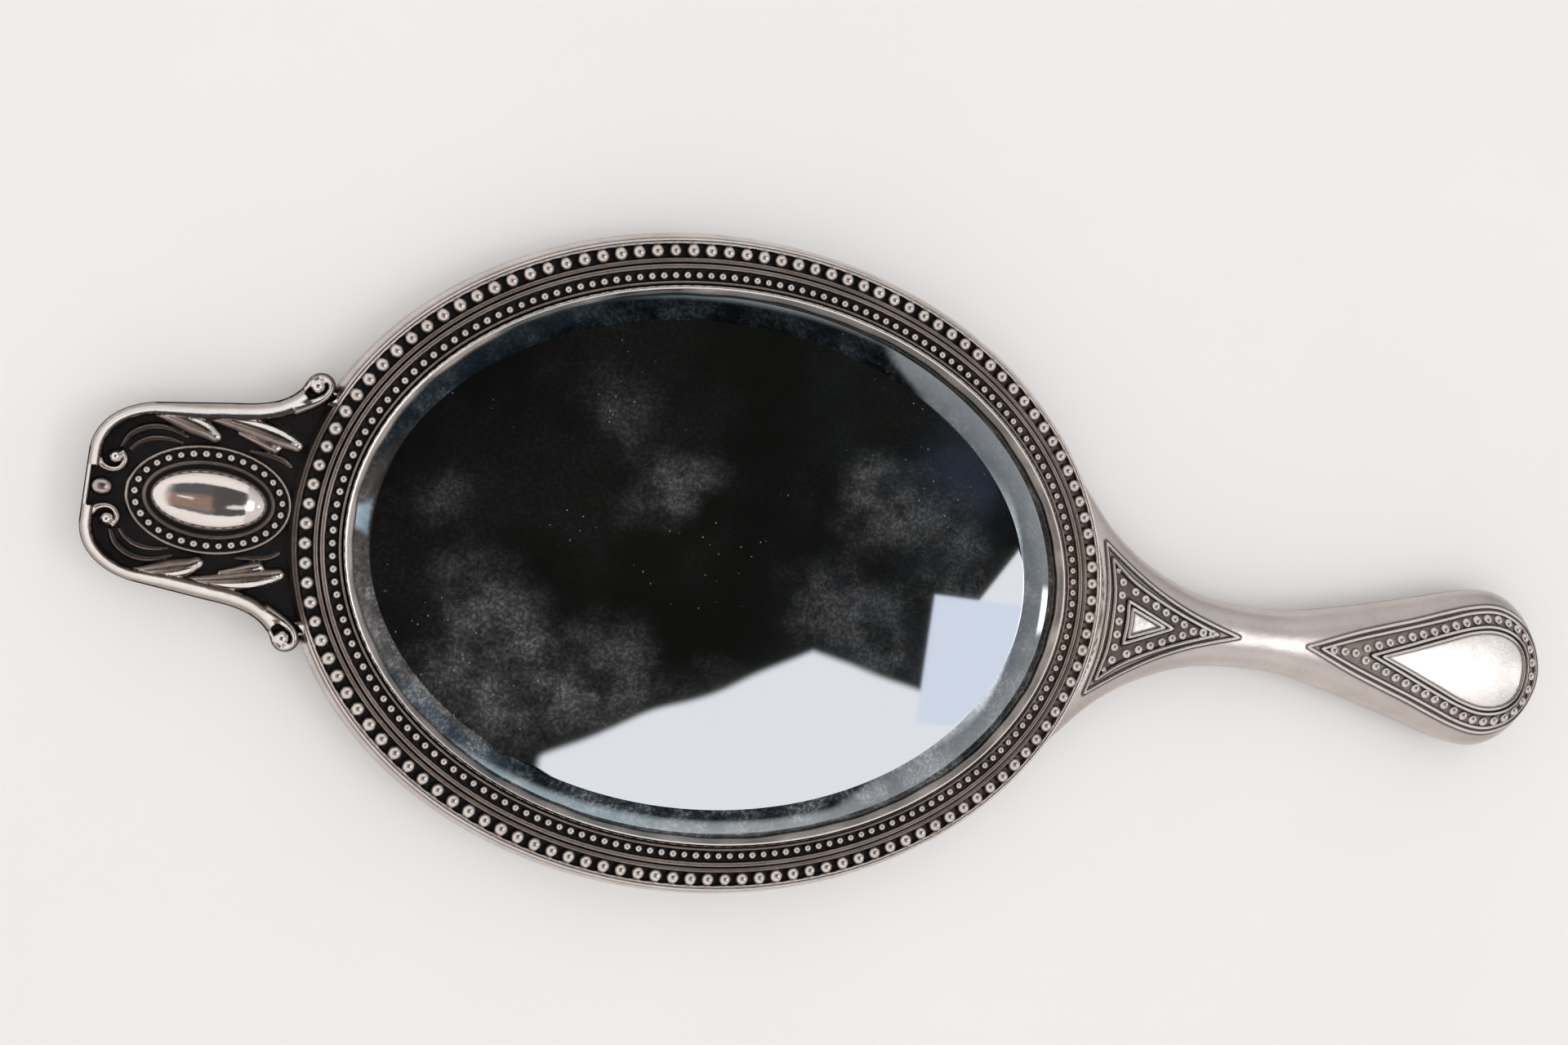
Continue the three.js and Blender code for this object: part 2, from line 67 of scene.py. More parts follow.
HEAD_X = (GLASS_LOW[0] + GLASS_HIGH[0]) / 2
LARGE_BEAD_WIRE = 1.0  # radius of the plain ring that stands for the beads in CAD
OVAL_A = (BEADS_HIGH[0] - BEADS_LOW[0]) / 2 - LARGE_BEAD_WIRE  # the oval that the large beads follow
OVAL_B = OVAL_A - 16.8
GLASS_TOP = GLASS_HIGH[2]
GLASS_BOTTOM = GLASS_LOW[2]
CREST_END_X = SHELL_LOW[0] - HEAD_X
HANDLE_END_X = SHELL_HIGH[0] - HEAD_X
BOSS_X = (BOSS_LOW[0] + BOSS_HIGH[0]) / 2 - HEAD_X
BOSS_A = (BOSS_HIGH[0] - BOSS_LOW[0]) / 2
BOSS_B = (BOSS_HIGH[1] - BOSS_LOW[1]) / 2
BOSS_HEIGHT = BOSS_HIGH[2] - BOSS_LOW[2]

SEAM_Z = 6.0  # height at which the front and back shells meet
SEAM_GAP = 0.12
SHEET = 0.8  # thickness of the silver sheet
HIDDEN_POLISH = 0.1  # of the faces that lie inside the mirror
OVAL_STEPS = 480  # points round the head
CURVE_STEPS = 24  # points between two given points of a smooth curve

# ---------------- meshes


def metres(points):
    return (np.asarray(points, float) + [HEAD_X, 0, 0]) * MM


def in_scene(name, data):
    """An object of a mesh, lamp or camera, linked to the scene."""
    made = bpy.data.objects.new(name, data)
    bpy.context.scene.collection.objects.link(made)
    return made


def make_piece(name, solid, material, replaced, crease=35):
    """A smooth mesh with a polish value on each vertex: 0 in a blackened recess, 1 where it is bright."""
    vertices, faces, polish = solid
    mesh = bpy.data.meshes.new(name)
    mesh.from_pydata(metres(vertices).tolist(), [], faces)
    attribute = mesh.attributes.new("polish", "FLOAT", "POINT")
    attribute.data.foreach_set("value", np.clip(polish, 0, 1).astype(np.float32))
    mesh.shade_smooth()
    mesh.set_sharp_from_angle(angle=math.radians(crease))
    mesh.materials.append(material)
    piece = in_scene(name, mesh)
    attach(piece, "root")
    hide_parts(replaced)


def skin_faces(loops, sides, closed):
    """Quads between neighbouring loops; a closed sweep also joins the last loop to the first."""
    spans = loops if closed else loops - 1
    here = np.arange(spans)[:, None] * sides
    there = (np.arange(spans)[:, None] + 1) % loops * sides
    side = np.arange(sides)[None, :]
    after = (side + 1) % sides
    return np.stack([here + side, here + after, there + after, there + side], -1).reshape(-1, 4)


def skin(loops, polish, closed=False):
    """Vertices, faces and polish of a solid skinned over loops, with a fan over each open end."""
    loops = np.asarray(loops, float)
    count, sides = loops.shape[:2]
    vertices = loops.reshape(-1, 3)
    polish = np.broadcast_to(polish, (count, sides)).reshape(-1)
    faces = skin_faces(count, sides, closed).tolist()
    if not closed:
        first_middle = len(vertices)
        ends = [loops[0].mean(0), loops[-1].mean(0)]
        vertices = np.vstack([vertices, ends])
        polish = np.append(polish, [polish[0], polish[-1]])
        last = (count - 1) * sides
        for side in range(sides):
            after = (side + 1) % sides
            faces.append([first_middle, after, side])
            faces.append([first_middle + 1, last + side, last + after])
    return vertices, faces, polish


def merged(parts):
    """Several (vertices, faces, polish) solids as one."""
    vertices, faces, polish = [], [], []
    start = 0
    for part_vertices, part_faces, part_polish in parts:
        vertices.append(part_vertices)
        faces.extend([corner + start for corner in face] for face in part_faces)
        polish.append(part_polish)
        start += len(part_vertices)
    return np.vstack(vertices), faces, np.concatenate(polish)


def smoothstep(low, high, value):
    t = np.clip((np.asarray(value, float) - low) / (high - low), 0, 1)
    return t * t * (3 - 2 * t)


def arc(centre, radius, start, end, steps, polish):
    """[offset, height, polish] points round part of a circle, angles in degrees."""
    angles = np.radians(np.linspace(start, end, steps))
    return [[centre[0] + radius * math.cos(a), centre[1] + radius * math.sin(a), polish] for a in angles]


def points_of(x, y, z):
    """Points from coordinates that broadcast together."""
    return np.stack(np.broadcast_arrays(x, y, z), -1)


def at_height(outline, height):
    """Points of x and y at one height, or each at its own."""
    return points_of(outline[..., 0], outline[..., 1], height)


def distance_along(points):
    """Distance from the first point of a path to each of its points."""
    return np.concatenate([[0], np.cumsum(np.linalg.norm(np.diff(points, axis=0), axis=1))])


def spaced(points, shares):
    """Points on a path of straight lines, at shares of its length."""
    length = distance_along(points)
    return np.stack([np.interp(shares * length[-1], length, column) for column in points.T], -1)


def curve_points(points, steps):
    """A smooth curve through the points, evenly spaced."""
    points = np.asarray(points, float)
    padded = np.vstack([2 * points[0] - points[1], points, 2 * points[-1] - points[-2]])
    t = np.linspace(0, 1, CURVE_STEPS, endpoint=False)[:, None]
    fine = []
    for before, start, end, after in zip(padded, padded[1:], padded[2:], padded[3:]):
        fine.append(0.5 * (
            2 * start + (end - before) * t + (2 * before - 5 * start + 4 * end - after) * t**2
            + (3 * start - before - 3 * end + after) * t**3
        ))
    return spaced(np.vstack([*fine, points[-1:]]), np.linspace(0, 1, steps))


def lower_half(upper):
    """The -Y half of an outline, from the last point of its +Y half back to the first."""
    return upper[::-1] * [1, -1]


def angles_round(count):
    """Evenly spaced angles of a full turn."""
    return np.arange(count) / count * 2 * math.pi


# ---------------- the oval head

# Sections of the head are [offset, height, polish] points, with the offset outwards from the bead oval
RIM_SHOULDER = [
    [3.0, 6.15, 0.2], [3.2, 6.4, 0.5], [3.2, 6.8, 0.65], [3.05, 7.4, 0.72], [2.8, 8.0, 0.78],
    [2.5, 8.55, 0.78], [2.25, 9.0, 0.6], [2.08, 9.2, 0.35],
]
RIM_UNDERSIDE = [
    [-5.5, 7.6, 0.1], [-4.9, 7.6, 0.1], [-4.8, 8.6, 0.1], [-1.9, 8.5, 0.1], [-1.2, 7.9, 0.1],
    [1.1, 7.9, 0.1], [1.9, 7.6, 0.1], [2.4, 6.8, 0.1], [2.4, 6.15, 0.1],
]
RIM_TARNISH = 0.45  # polish that the rim lacks beside the crest, where its side is covered
RIM_PAINTED_LIGHT = 0.36  # painted light: polish that its recesses gain near the handle
BACK_FIELD_OFFSET = -14.0  # the flat field on the back ends here

# Each ring of beads round the rim: count, offset, height of their middles, radius and seed
LARGE_BEADS = (125, 0.0, 9.1, 1.2, 5)
SMALL_BEADS = (178, -4.13, 9.68, 0.68, 8)
BACK_BEADS = (125, -0.85, 2.55, 0.95, 21)
BEAD_SIDES = 16
BEAD_RINGS = 9
BEAD_POLISH = 0.86

GLASS_OFFSET = -6.75  # edge of the plate
BEVEL_WIDTH = 5.2
BEVEL_SLOPE = 0.2
BEVEL_ROUNDING = 1.3  # above 1, the bevel gets steeper towards the edge of the plate
BEVEL_SHIFT = -2.3  # the hand-ground bevel is narrower beside the crest than beside the handle
BEVEL_ROWS = 6
LIP_OFFSET = -6.6  # the bezel's lip lies inside this


def oval_points(turn, offset):
    """Points of x and y on the bead oval, moved outwards by the offset."""
    cos, sin = np.cos(turn), np.sin(turn)
    across, up = cos / OVAL_A, sin / OVAL_B
    length = np.hypot(across, up)
    return np.stack([OVAL_A * cos + offset * across / length, OVAL_B * sin + offset * up / length], -1)


def even_turns(count, offset):
    """Angles that space points evenly round an offset of the oval."""
    fine = np.linspace(0, 2 * math.pi, 4001)
    length = distance_along(oval_points(fine, offset))
    return np.interp(np.arange(count) / count * length[-1], length, fine)


def oval_ring(turn, offsets, heights, polish):
    """A closed ring round the oval, from its section at each turn; the arguments broadcast together."""
    loops = at_height(oval_points(turn, offsets), heights)
    return skin(loops[:, ::-1], np.broadcast_to(polish, loops.shape[:2])[:, ::-1], closed=True)


def rim_section():
    """Over the shoulder, the outer roll, the large bead channel, two ridges and the small bead channel."""
    return [
        *RIM_SHOULDER,
        *arc((1.6, 9.35), 0.48, 0, 165, 9, 0.82),
        [1.05, 9.1, 0.12], [0.9, 8.85, 0.02], [0.3, 8.7, 0.0], [-0.4, 8.7, 0.0], [-0.95, 8.85, 0.02],
        [-1.15, 9.2, 0.1],
        *arc((-1.6, 9.7), 0.4, 15, 165, 7, 0.5),
        [-2.1, 9.55, 0.12],
        *arc((-2.6, 9.85), 0.42, 15, 165, 7, 0.55),
        [-3.1, 9.5, 0.1], [-3.4, 9.32, 0.02], [-4.2, 9.28, 0.0], [-4.85, 9.35, 0.02], [-5.02, 9.7, 0.1],
        *arc((-5.28, 10.0), 0.24, 20, 180, 6, 0.55),
        *RIM_UNDERSIDE,
    ]


def rim_front():
    """The stamped rim, tarnished beside the crest, with painted light that makes its recesses paler near the
    handle.
    """
    turn = even_turns(OVAL_STEPS, 0)[:, None]
    offset, height, polish = np.array(rim_section()).T
    beside_crest = 1 - smoothstep(0.28, 0.36, np.abs(turn - math.pi))
    polish = polish - RIM_TARNISH * beside_crest * (offset > 1.1)
    # Painted light: the rim's recesses grow paler towards the handle.
    near_handle = smoothstep(0.15, 0.97, np.cos(turn))
    polish = polish + RIM_PAINTED_LIGHT * near_handle * (1 - smoothstep(0.0, 0.5, polish))
    return oval_ring(turn, offset, height, polish)


def bead(centre, radii, heading=0.0, lean=(0.0, 0.0), down=False):
    """A round bead, bright on its crown and dark towards its foot; lean tilts it with its surface."""
    latitude = np.radians(np.linspace(-60, 84, BEAD_RINGS))[:, None]
    turn = angles_round(BEAD_SIDES)
    x = radii[0] * np.cos(latitude) * np.cos(turn)
    y = radii[1] * np.cos(latitude) * np.sin(turn)
    z = radii[2] * np.sin(latitude)
    polish = BEAD_POLISH * smoothstep(-0.35, 0.4, np.sin(latitude))
    if down:
        x, y, z, polish = x[::-1], y[::-1], -z[::-1], polish[::-1]
    cos, sin = math.cos(heading), math.sin(heading)
    x, y = x * cos - y * sin, x * sin + y * cos
    z = z + lean[0] * x + lean[1] * y
    return skin(points_of(x, y, z) + centre, polish)


def rim_beads(count, offset, height, radius, seed, down=False):
    """Hand-struck beads round the rim, each a little different from the next."""
    random = np.random.default_rng(seed)
    turns = even_turns(count, offset)
    spots = oval_points(turns, offset)
    painted_flank_light = spots - oval_points(turns, offset - 1)
    beads = []
    for (x, y), heading in zip(spots, np.arctan2(painted_flank_light[:, 1], painted_flank_light[:, 0])):
        size = radius * random.uniform(0.95, 1.04)
        along = size * random.uniform(0.94, 1.02)
        centre = (x, y, height + random.uniform(-0.05, 0.05))
        beads.append(bead(centre, (size, along, size), heading, down=down))
    return merged(beads)


def bezel_section():
    """Burnished ring that rises from the rim and slopes down over the edge of the glass."""
    return [
        [-5.75, 7.0, 0.1], [-5.75, 10.2, 0.4], [-5.8, 10.55, 0.8], [-5.95, 10.72, 1.0], [-6.15, 10.7, 1.0],
        [-6.32, 10.58, 0.9], [-6.42, 10.48, 0.7], [-6.75, 10.28, 0.7], [-7.0, 10.08, 0.6], [-7.1, 9.95, 0.5],
        [-7.15, 9.7, 0.42], [-7.12, 9.5, 0.3], [-7.0, 9.42, 0.1], [-6.5, 9.42, 0.1], [-6.4, 7.0, 0.1],
    ]


def bezel_ring():
    """The burnished ring; its lip wanders a little, and lies lower where the bevel is wider."""
    turn = even_turns(OVAL_STEPS, 0)[:, None]
    offset, height, polish = np.array(bezel_section()).T
    wave = 0.09 * np.sin(17 * turn + 0.6) + 0.06 * np.sin(41 * turn + 2.0) + 0.05 * np.sin(7 * turn)
    edge, arris = glass_outlines(turn[:, 0])
    edge_drop = BEVEL_SLOPE * np.linalg.norm(edge - arris, axis=1)[:, None]
    sag = 0.9 * (edge_drop - 0.55) * smoothstep(-6.3, -7.0, offset)
    return oval_ring(turn, offset + wave * (offset < LIP_OFFSET), height - sag, polish)


def glass_outlines(turn):
    """The edge of the plate, and the arris between its bevel and its flat field."""
    edge = oval_points(turn, GLASS_OFFSET)
    arris = oval_points(turn, GLASS_OFFSET - BEVEL_WIDTH) + [BEVEL_SHIFT, 0]
    return edge, arris


def bevelled_plate():
    """Plate glass with a wide bevel.

    Its polish only tells its material the place: 0 at the edge, up to 0.5 along the bevel, 1 on the flat.
    """
    edge, arris = glass_outlines(even_turns(OVAL_STEPS, 0))
    width = np.linalg.norm(edge - arris, axis=1)
    rings = [at_height(edge, GLASS_BOTTOM)]
    polish = [0]
    for up in np.linspace(0, 0.998, BEVEL_ROWS):
        drop = BEVEL_SLOPE * width * (1 - up) ** BEVEL_ROUNDING
        rings.append(at_height(edge + (arris - edge) * up, GLASS_TOP - drop))
        polish.append(up / 2)
    for shrink in (1.0, 0.99, 0.6):
        rings.append(at_height(arris * shrink, GLASS_TOP))
        polish.append(1)
    return skin(rings, np.array(polish, float)[:, None])


def head_back():
    """The dished back, from its flat field up to the seam."""
    profile = np.array([
        [BACK_FIELD_OFFSET - 12, 0, 0.8], [BACK_FIELD_OFFSET, 0, 0.8], [-12, 0.12, 0.8], [-10, 0.32, 0.8],
        [-8, 0.62, 0.8], [-6, 1.0, 0.8], [-4, 1.45, 0.8], [-2.6, 1.8, 0.7],
        *arc((-2.3, 1.95), 0.25, -120, -30, 4, 0.8),
        [-1.9, 2.3, 0.05], [-0.5, 2.9, 0.05], [0.2, 3.05, 0.1],
        *arc((0.6, 3.2), 0.35, -120, 0, 5, 0.9),
        [1.4, 3.8, 0.85], [2.2, 4.5, 0.85], [2.8, 5.2, 0.85], [3.1, 5.7, 0.8], [3.0, SEAM_Z - SEAM_GAP, 0.3],
    ])
    outlines = oval_points(even_turns(OVAL_STEPS, 0), profile[:, :1])
    return skin(at_height(outlines, profile[:, 1:2]), profile[:, 2:])


# ---------------- the handle

# x, half width and half thickness of the handle at stations along it, up to its widest place
HANDLE_STATIONS = np.array([
    [62, 29.5, 3.0], [68, 23.2, 3.4], [74, 17.2, 3.8], [80, 12.9, 4.1], [86, 9.9, 4.3], [92, 7.8, 4.5],
    [98, 6.6, 4.6], [107, 6.05, 4.7], [116, 6.4, 4.8], [128, 8.5, 4.9], [146, 12.7, 5.2],
    [156, 15.2, 5.4], [163, 16.1, 5.4],
])
HANDLE_START_X = HANDLE_STATIONS[0, 0]
HANDLE_WIDEST_X = HANDLE_STATIONS[-1, 0]
ROUND_END_TURN = math.radians(88.5)  # the round end stops just short of its tip
FRONT_GRID = (440, 40, 150)  # rows of points, how many of them are in the round end, and columns
BACK_GRID = (150, 30, 60)
INNER_STRIDE = 12  # the hidden inner face has one column for this many of the front
ROOT_OFFSET = 2.3  # inside this offset of the rim, the handle's front dives under the rim
ROOT_SINK = 2.2
MIDDLE_POLISH = 0.86  # along the middle of the handle's front
SIDE_PAINTED_SHADE = 0.12  # painted shade: how far that falls towards its sides
BAND_POLISH = 0.62  # between the two outer ridges of a panel
FIELD_POLISH = 0.93  # the plain field inside each panel
BACK_POLISH = 0.72

# Half outlines on the handle's front, from the end nearer the head round to the other
NECK_OUTER = [
    [73.7, 0], [73.4, 6.5], [72.0, 14.2], [75.8, 11.6], [80, 8.9], [85, 6.1], [90.6, 3.6], [96, 1.8],
    [102.5, 0],
]
NECK_SECOND = [
    [75.0, 0], [74.8, 5.5], [73.7, 11.4], [77.9, 8.2], [82, 6.0], [86.9, 3.8], [91.4, 2.1], [97.8, 0],
]
NECK_FIELD_RIDGE = [[78.1, 0], [77.9, 4.0], [87.8, 0]]
NECK_FIELD = [[78.9, 0], [78.8, 2.7], [86.0, 0]]
GRIP_OUTER = [
    [118.3, 0], [121.5, 1.1], [129.5, 3.85], [137.1, 6.1], [144.5, 8.2], [150.8, 10.2], [156.9, 11.95],
    [162.4, 12.9], [167, 12.5], [171.8, 10.4], [175.2, 6.2], [176.7, 0],
]
GRIP_SECOND = [
    [121.6, 0], [129.8, 2.75], [137.4, 5.0], [144.8, 7.15], [151, 9.05], [157, 10.9], [162.4, 11.85],
    [166.6, 11.5], [170.9, 9.6], [174.2, 5.9], [175.8, 0],
]
GRIP_FIELD_EDGE = [
    [133.6, 0], [142, 2.9], [150, 5.7], [157.4, 8.0], [163.2, 8.9], [168.6, 7.9], [172, 4.9], [173, 0],
]
GRIP_FIELD = [
    [136.2, 0], [143, 2.2], [150, 4.6], [157.2, 7.0], [163, 7.9], [167.9, 7.0], [171, 4.4], [172, 0],
]
GRIP_OUTLINES = (GRIP_OUTER, GRIP_SECOND, GRIP_FIELD_EDGE, GRIP_FIELD)
NECK_BASE_STEPS = 60
NECK_SIDE_STEPS = 90
NECK_REACH = (66, 106)  # the neck's panel lies between these x, and the grip's between the next
GRIP_REACH = (116, 178)
CHANNEL_SINK = 0.28
NECK_CHANNEL_POLISH = 0.42  # the neck's recesses are darker than the grip's, which the hand rubs
GRIP_CHANNEL_POLISH = 0.5
NECK_LINE_SHADE = 0.6
GRIP_LINE_SHADE = 0.45
RIDGE_RADIUS = 0.33
RIDGE_SIDES = 8
RIDGE_SINK = 0.06

BEAD_SINK = 0.45  # how far the middle of a bead lies under the handle's surface
NECK_BEAD_SEED = 31
GRIP_BEAD_SEED = 47
NECK_BEAD_RADIUS = 0.95
NECK_BEAD_BASE = (76.4, 7.35)  # x of the row across the handle, and y of its last bead
NECK_BEAD_BASE_COUNT = 7
NECK_BEAD_SIDES = [
    [79.2, 5.85], [81.5, 4.75], [83.8, 3.75], [86.1, 2.8], [88.1, 1.85], [90.2, 1.05],
]
NECK_BEAD_POINT = [92.3, 94.5, 96.6]
NECK_CORNER_BEAD = (75.2, 9.3, 0.6)  # x, y and radius
GRIP_BEAD_RADIUS = 1.04
GRIP_BEAD_LINE = [
    [132.4, 1.2], [140.6, 3.95], [148.8, 6.5], [156.1, 9.0], [160.5, 10.2], [164.5, 10.5], [168.8, 9.6],
    [172, 7.6], [174, 4.3], [174.6, 0],
]
GRIP_BEAD_POINT = [124.6, 127.2, 129.8]
GRIP_BEAD_PITCH = 2.74


def smooth_stations(x, column):
    """A smooth curve through one column of the handle's stations."""
    knots, values = HANDLE_STATIONS[:, 0], HANDLE_STATIONS[:, column]
    slopes = np.zeros(len(knots))
    slopes[1:-1] = (values[2:] - values[:-2]) / (knots[2:] - knots[:-2])
    slopes[0] = (values[1] - values[0]) / (knots[1] - knots[0])
    right = np.clip(np.searchsorted(knots, x), 1, len(knots) - 1)
    width = knots[right] - knots[right - 1]
    t = np.clip((x - knots[right - 1]) / width, 0, 1)
    start, end = values[right - 1], values[right]
    start_slope, end_slope = slopes[right - 1] * width, slopes[right] * width
    return (
        (2 * t**3 - 3 * t**2 + 1) * start + (t**3 - 2 * t**2 + t) * start_slope
        + (3 * t**2 - 2 * t**3) * end + (t**3 - t**2) * end_slope
    )


def handle_size(x):
    """Half width and half thickness of the handle: a smooth curve, then a round end."""
    x = np.asarray(x, float)
    along = np.clip((x - HANDLE_WIDEST_X) / (HANDLE_END_X - HANDLE_WIDEST_X), 0, 1)
    shrink = np.sqrt(1 - along**2)
    return smooth_stations(x, 1) * shrink, smooth_stations(x, 2) * np.sqrt(shrink)


def handle_top(x, y):
    half_width, half_depth = handle_size(x)
    across = np.clip(np.asarray(y) / np.maximum(half_width, 1e-6), -1, 1)
    return SEAM_Z + half_depth * np.sqrt(1 - across**2)


def handle_lean(x, y):
    """Slope of the handle's front along x and y, for setting beads square to it."""
    step = 0.2
    along = (handle_top(x + step, y) - handle_top(x - step, y)) / (2 * step)
    across = (handle_top(x, y + step) - handle_top(x, y - step)) / (2 * step)
    return float(along), float(across)


def with_corners(half_outline, step):
    """A closed outline with sharp corners at the listed points, as evenly spaced points."""
    half = np.array(half_outline)
    outline = np.vstack([half, lower_half(half[1:-1])])
    points = []
    for start, end in zip(outline, np.roll(outline, -1, axis=0)):
        count = max(int(np.linalg.norm(end - start) / step), 1)
        points.append(start + (end - start) * (np.arange(count) / count)[:, None])
    return np.vstack(points)


def from_segment(points, start, end):
    """How far along a straight line the nearest place to each point is, from 0 to 1, and its distance."""
    span = end - start
    reach = points - start
    share = np.clip(reach @ span / max(span @ span, 1e-12), 0, 1)
    return share, np.linalg.norm(reach - share[:, None] * span, axis=1)


def inside_distance(x, y, outline):
    """Signed distance to a closed outline, positive inside."""
    points = np.stack([x, y], -1)
    best = np.full(len(points), np.inf)
    inside = np.zeros(len(points), bool)
    for start, end in zip(outline, np.roll(outline, -1, axis=0)):
        best = np.minimum(best, from_segment(points, start, end)[1])
        crosses = (start[1] > y) != (end[1] > y)
        rise = end[1] - start[1] if end[1] != start[1] else 1e-12
        inside ^= crosses & (x < start[0] + (y - start[1]) / rise * (end[0] - start[0]))
    return np.where(inside, best, -best)


def there_and_back(half_outline):
    """Points along the +Y half of an outline and back along its -Y half."""
    half = np.array(half_outline, float)
    return np.vstack([half, lower_half(half[:-1])])


def smooth_panel(half_outline, steps):
    """A closed outline with a sharp point at its first point and a smooth curve round the rest."""
    return curve_points(there_and_back(half_outline), steps)[:-1]


def neck_outline(half_outline):
    """The neck panel: a straight-sided outline with corners at the base and a long point."""
    half = np.array(half_outline, float)
    base = curve_points(np.vstack([lower_half(half[:3]), half[1:3]]), NECK_BASE_STEPS + 1)
    side = curve_points(half[2:], NECK_SIDE_STEPS)
    return np.vstack([base[:-1], side[:-1], lower_half(side)[:-1]])


def neck_outlines(step):
    """The two outlines of the neck's panel and the two of its plain field, from the outside inwards."""
    return [
        *[neck_outline(half) for half in (NECK_OUTER, NECK_SECOND)],
        *[with_corners(half, step) for half in (NECK_FIELD_RIDGE, NECK_FIELD)],
    ]


def grip_outlines(steps):
    """The two outlines of the grip's panel and the two of its plain field, from the outside inwards."""
    return [smooth_panel(half, steps) for half in GRIP_OUTLINES]


def handle_half(rows, round_rows, columns, side):
    """Rows of points over the front (side 1) or the back (side -1) of the handle.

    Gives them with the half width and half thickness of each row, and the angle of each column.
    """
    straight = np.linspace(HANDLE_START_X, HANDLE_WIDEST_X, rows - round_rows, endpoint=False)
    round_end = np.sin(np.linspace(0, ROUND_END_TURN, round_rows))
    x = np.append(straight, HANDLE_WIDEST_X + (HANDLE_END_X - HANDLE_WIDEST_X) * round_end)[:, None]
    half_width, half_depth = handle_size(x)
    angle = np.linspace(-math.pi / 2, math.pi / 2, columns)
    y = half_width * np.sin(angle)
    z = SEAM_Z + side * (SEAM_GAP + (half_depth - SEAM_GAP) * np.cos(angle))
    return points_of(x, y, z), half_width, half_depth, angle


def handle_front():
    """The front half of the handle, with sunk and darkened channels for the beads."""
    outer, half_width, half_depth, angle = handle_half(*FRONT_GRID, 1)
    inner_angle = angle[::-1][::INNER_STRIDE]
    inner_y = (half_width - np.minimum(SHEET, 0.5 * half_width)) * np.sin(inner_angle)
    inner_z = SEAM_Z + SEAM_GAP + np.maximum(half_depth - 2 * SHEET, 0.3) * np.cos(inner_angle)
    inner = points_of(outer[:, :1, 0], inner_y, inner_z)
    polish, sink = handle_panel_polish(outer[..., 0], outer[..., 1])
    outer[..., 2] -= sink
    loops = np.concatenate([outer, inner], axis=1)
    polish = np.concatenate([polish, np.full(inner_y.shape, HIDDEN_POLISH)], axis=1)
    return skin(loops[:, ::-1], polish[:, ::-1])


def handle_panel_polish(x, y):
    """Polish and depth of sinking over the handle's front."""
    across = np.abs(y) / np.maximum(handle_size(x)[0], 1e-6)
    # Painted shade: the polish falls from the middle of the handle's front towards its sides.
    polish = MIDDLE_POLISH - SIDE_PAINTED_SHADE * smoothstep(0.3, 1.0, across)
    sink = np.zeros(x.shape)
    panels = (
        (neck_outlines(0.5), NECK_REACH, NECK_CHANNEL_POLISH, NECK_LINE_SHADE),
        (grip_outlines(220), GRIP_REACH, GRIP_CHANNEL_POLISH, GRIP_LINE_SHADE),
    )
    for outlines, reach, channel_polish, line_shade in panels:
        near = (x > reach[0]) & (x < reach[1])
        depths = [inside_distance(x[near], y[near], outline) for outline in outlines]
        band = smoothstep(0.0, 0.35, depths[0])
        channel = smoothstep(0.0, 0.35, depths[1]) * (1 - smoothstep(-0.2, 0.15, depths[3]))
        line = np.max([1 - smoothstep(0.4, 0.8, np.abs(depth)) for depth in depths], axis=0)
        shade = BAND_POLISH * band + polish[near] * (1 - band)
        shade = shade * (1 - channel) + channel_polish * channel
        shade = np.maximum(shade, FIELD_POLISH * smoothstep(0.0, 0.4, depths[3]))
        polish[near] = shade * (1 - line_shade * line)
        sink[near] = CHANNEL_SINK * np.maximum(channel, 0.5 * band * (depths[3] < 0))
    past_rim = (np.hypot(x / (OVAL_A + ROOT_OFFSET), y / (OVAL_B + ROOT_OFFSET)) - 1) * OVAL_A
    return polish, sink + ROOT_SINK * (1 - smoothstep(-1.0, 0.0, past_rim))


def ridge(path):
    """A round ridge along a closed path of x, y, z points, brightest on top."""
    along = np.roll(path, -1, axis=0) - np.roll(path, 1, axis=0)
    across = np.stack([-along[:, 1], along[:, 0], np.zeros(len(path))], -1)
    across /= np.maximum(np.linalg.norm(across, axis=1, keepdims=True), 1e-9)
    turn = angles_round(RIDGE_SIDES)
    out = np.cos(turn)[None, :, None] * across[:, None, :] * RIDGE_RADIUS
    up = np.sin(turn)[None, :, None] * np.array([0, 0, RIDGE_RADIUS])
    polish = 0.25 + 0.75 * smoothstep(-0.2, 0.7, np.sin(turn))
    return skin((path[:, None, :] + out + up)[:, ::-1], polish[None, ::-1], closed=True)


def handle_ridges():
    """Double ridges round each panel and round its plain field."""
    ridges = []
    for outline in (*neck_outlines(0.4), *grip_outlines(240)):
        height = handle_top(outline[:, 0], outline[:, 1]) - RIDGE_SINK
        ridges.append(ridge(at_height(outline, height)))
    return merged(ridges)


def handle_bead(x, y, radius, random):
    size = radius * random.uniform(0.94, 1.03)
    return bead((x, y, float(handle_top(x, y)) - BEAD_SINK), (size, size, size), lean=handle_lean(x, y))


def neck_beads():
    random = np.random.default_rng(NECK_BEAD_SEED)
    base_x, base_y = NECK_BEAD_BASE
    spots = [(base_x, y) for y in np.linspace(-base_y, base_y, NECK_BEAD_BASE_COUNT)]
    spots += [(x, y * side) for x, y in NECK_BEAD_SIDES for side in (1, -1)]
    spots += [(x, 0) for x in NECK_BEAD_POINT]
    beads = [handle_bead(x, y, NECK_BEAD_RADIUS, random) for x, y in spots]
    x, y, radius = NECK_CORNER_BEAD
    beads += [handle_bead(x, side * y, radius, random) for side in (1, -1)]
    return merged(beads)


def grip_beads():
    random = np.random.default_rng(GRIP_BEAD_SEED)
    line = there_and_back(GRIP_BEAD_LINE)
    count = round(distance_along(curve_points(line, 400))[-1] / GRIP_BEAD_PITCH) + 1
    spots = [(x, 0.0) for x in GRIP_BEAD_POINT]
    spots += [tuple(spot) for spot in curve_points(line, count)]
    return merged([handle_bead(x, y, GRIP_BEAD_RADIUS, random) for x, y in spots])


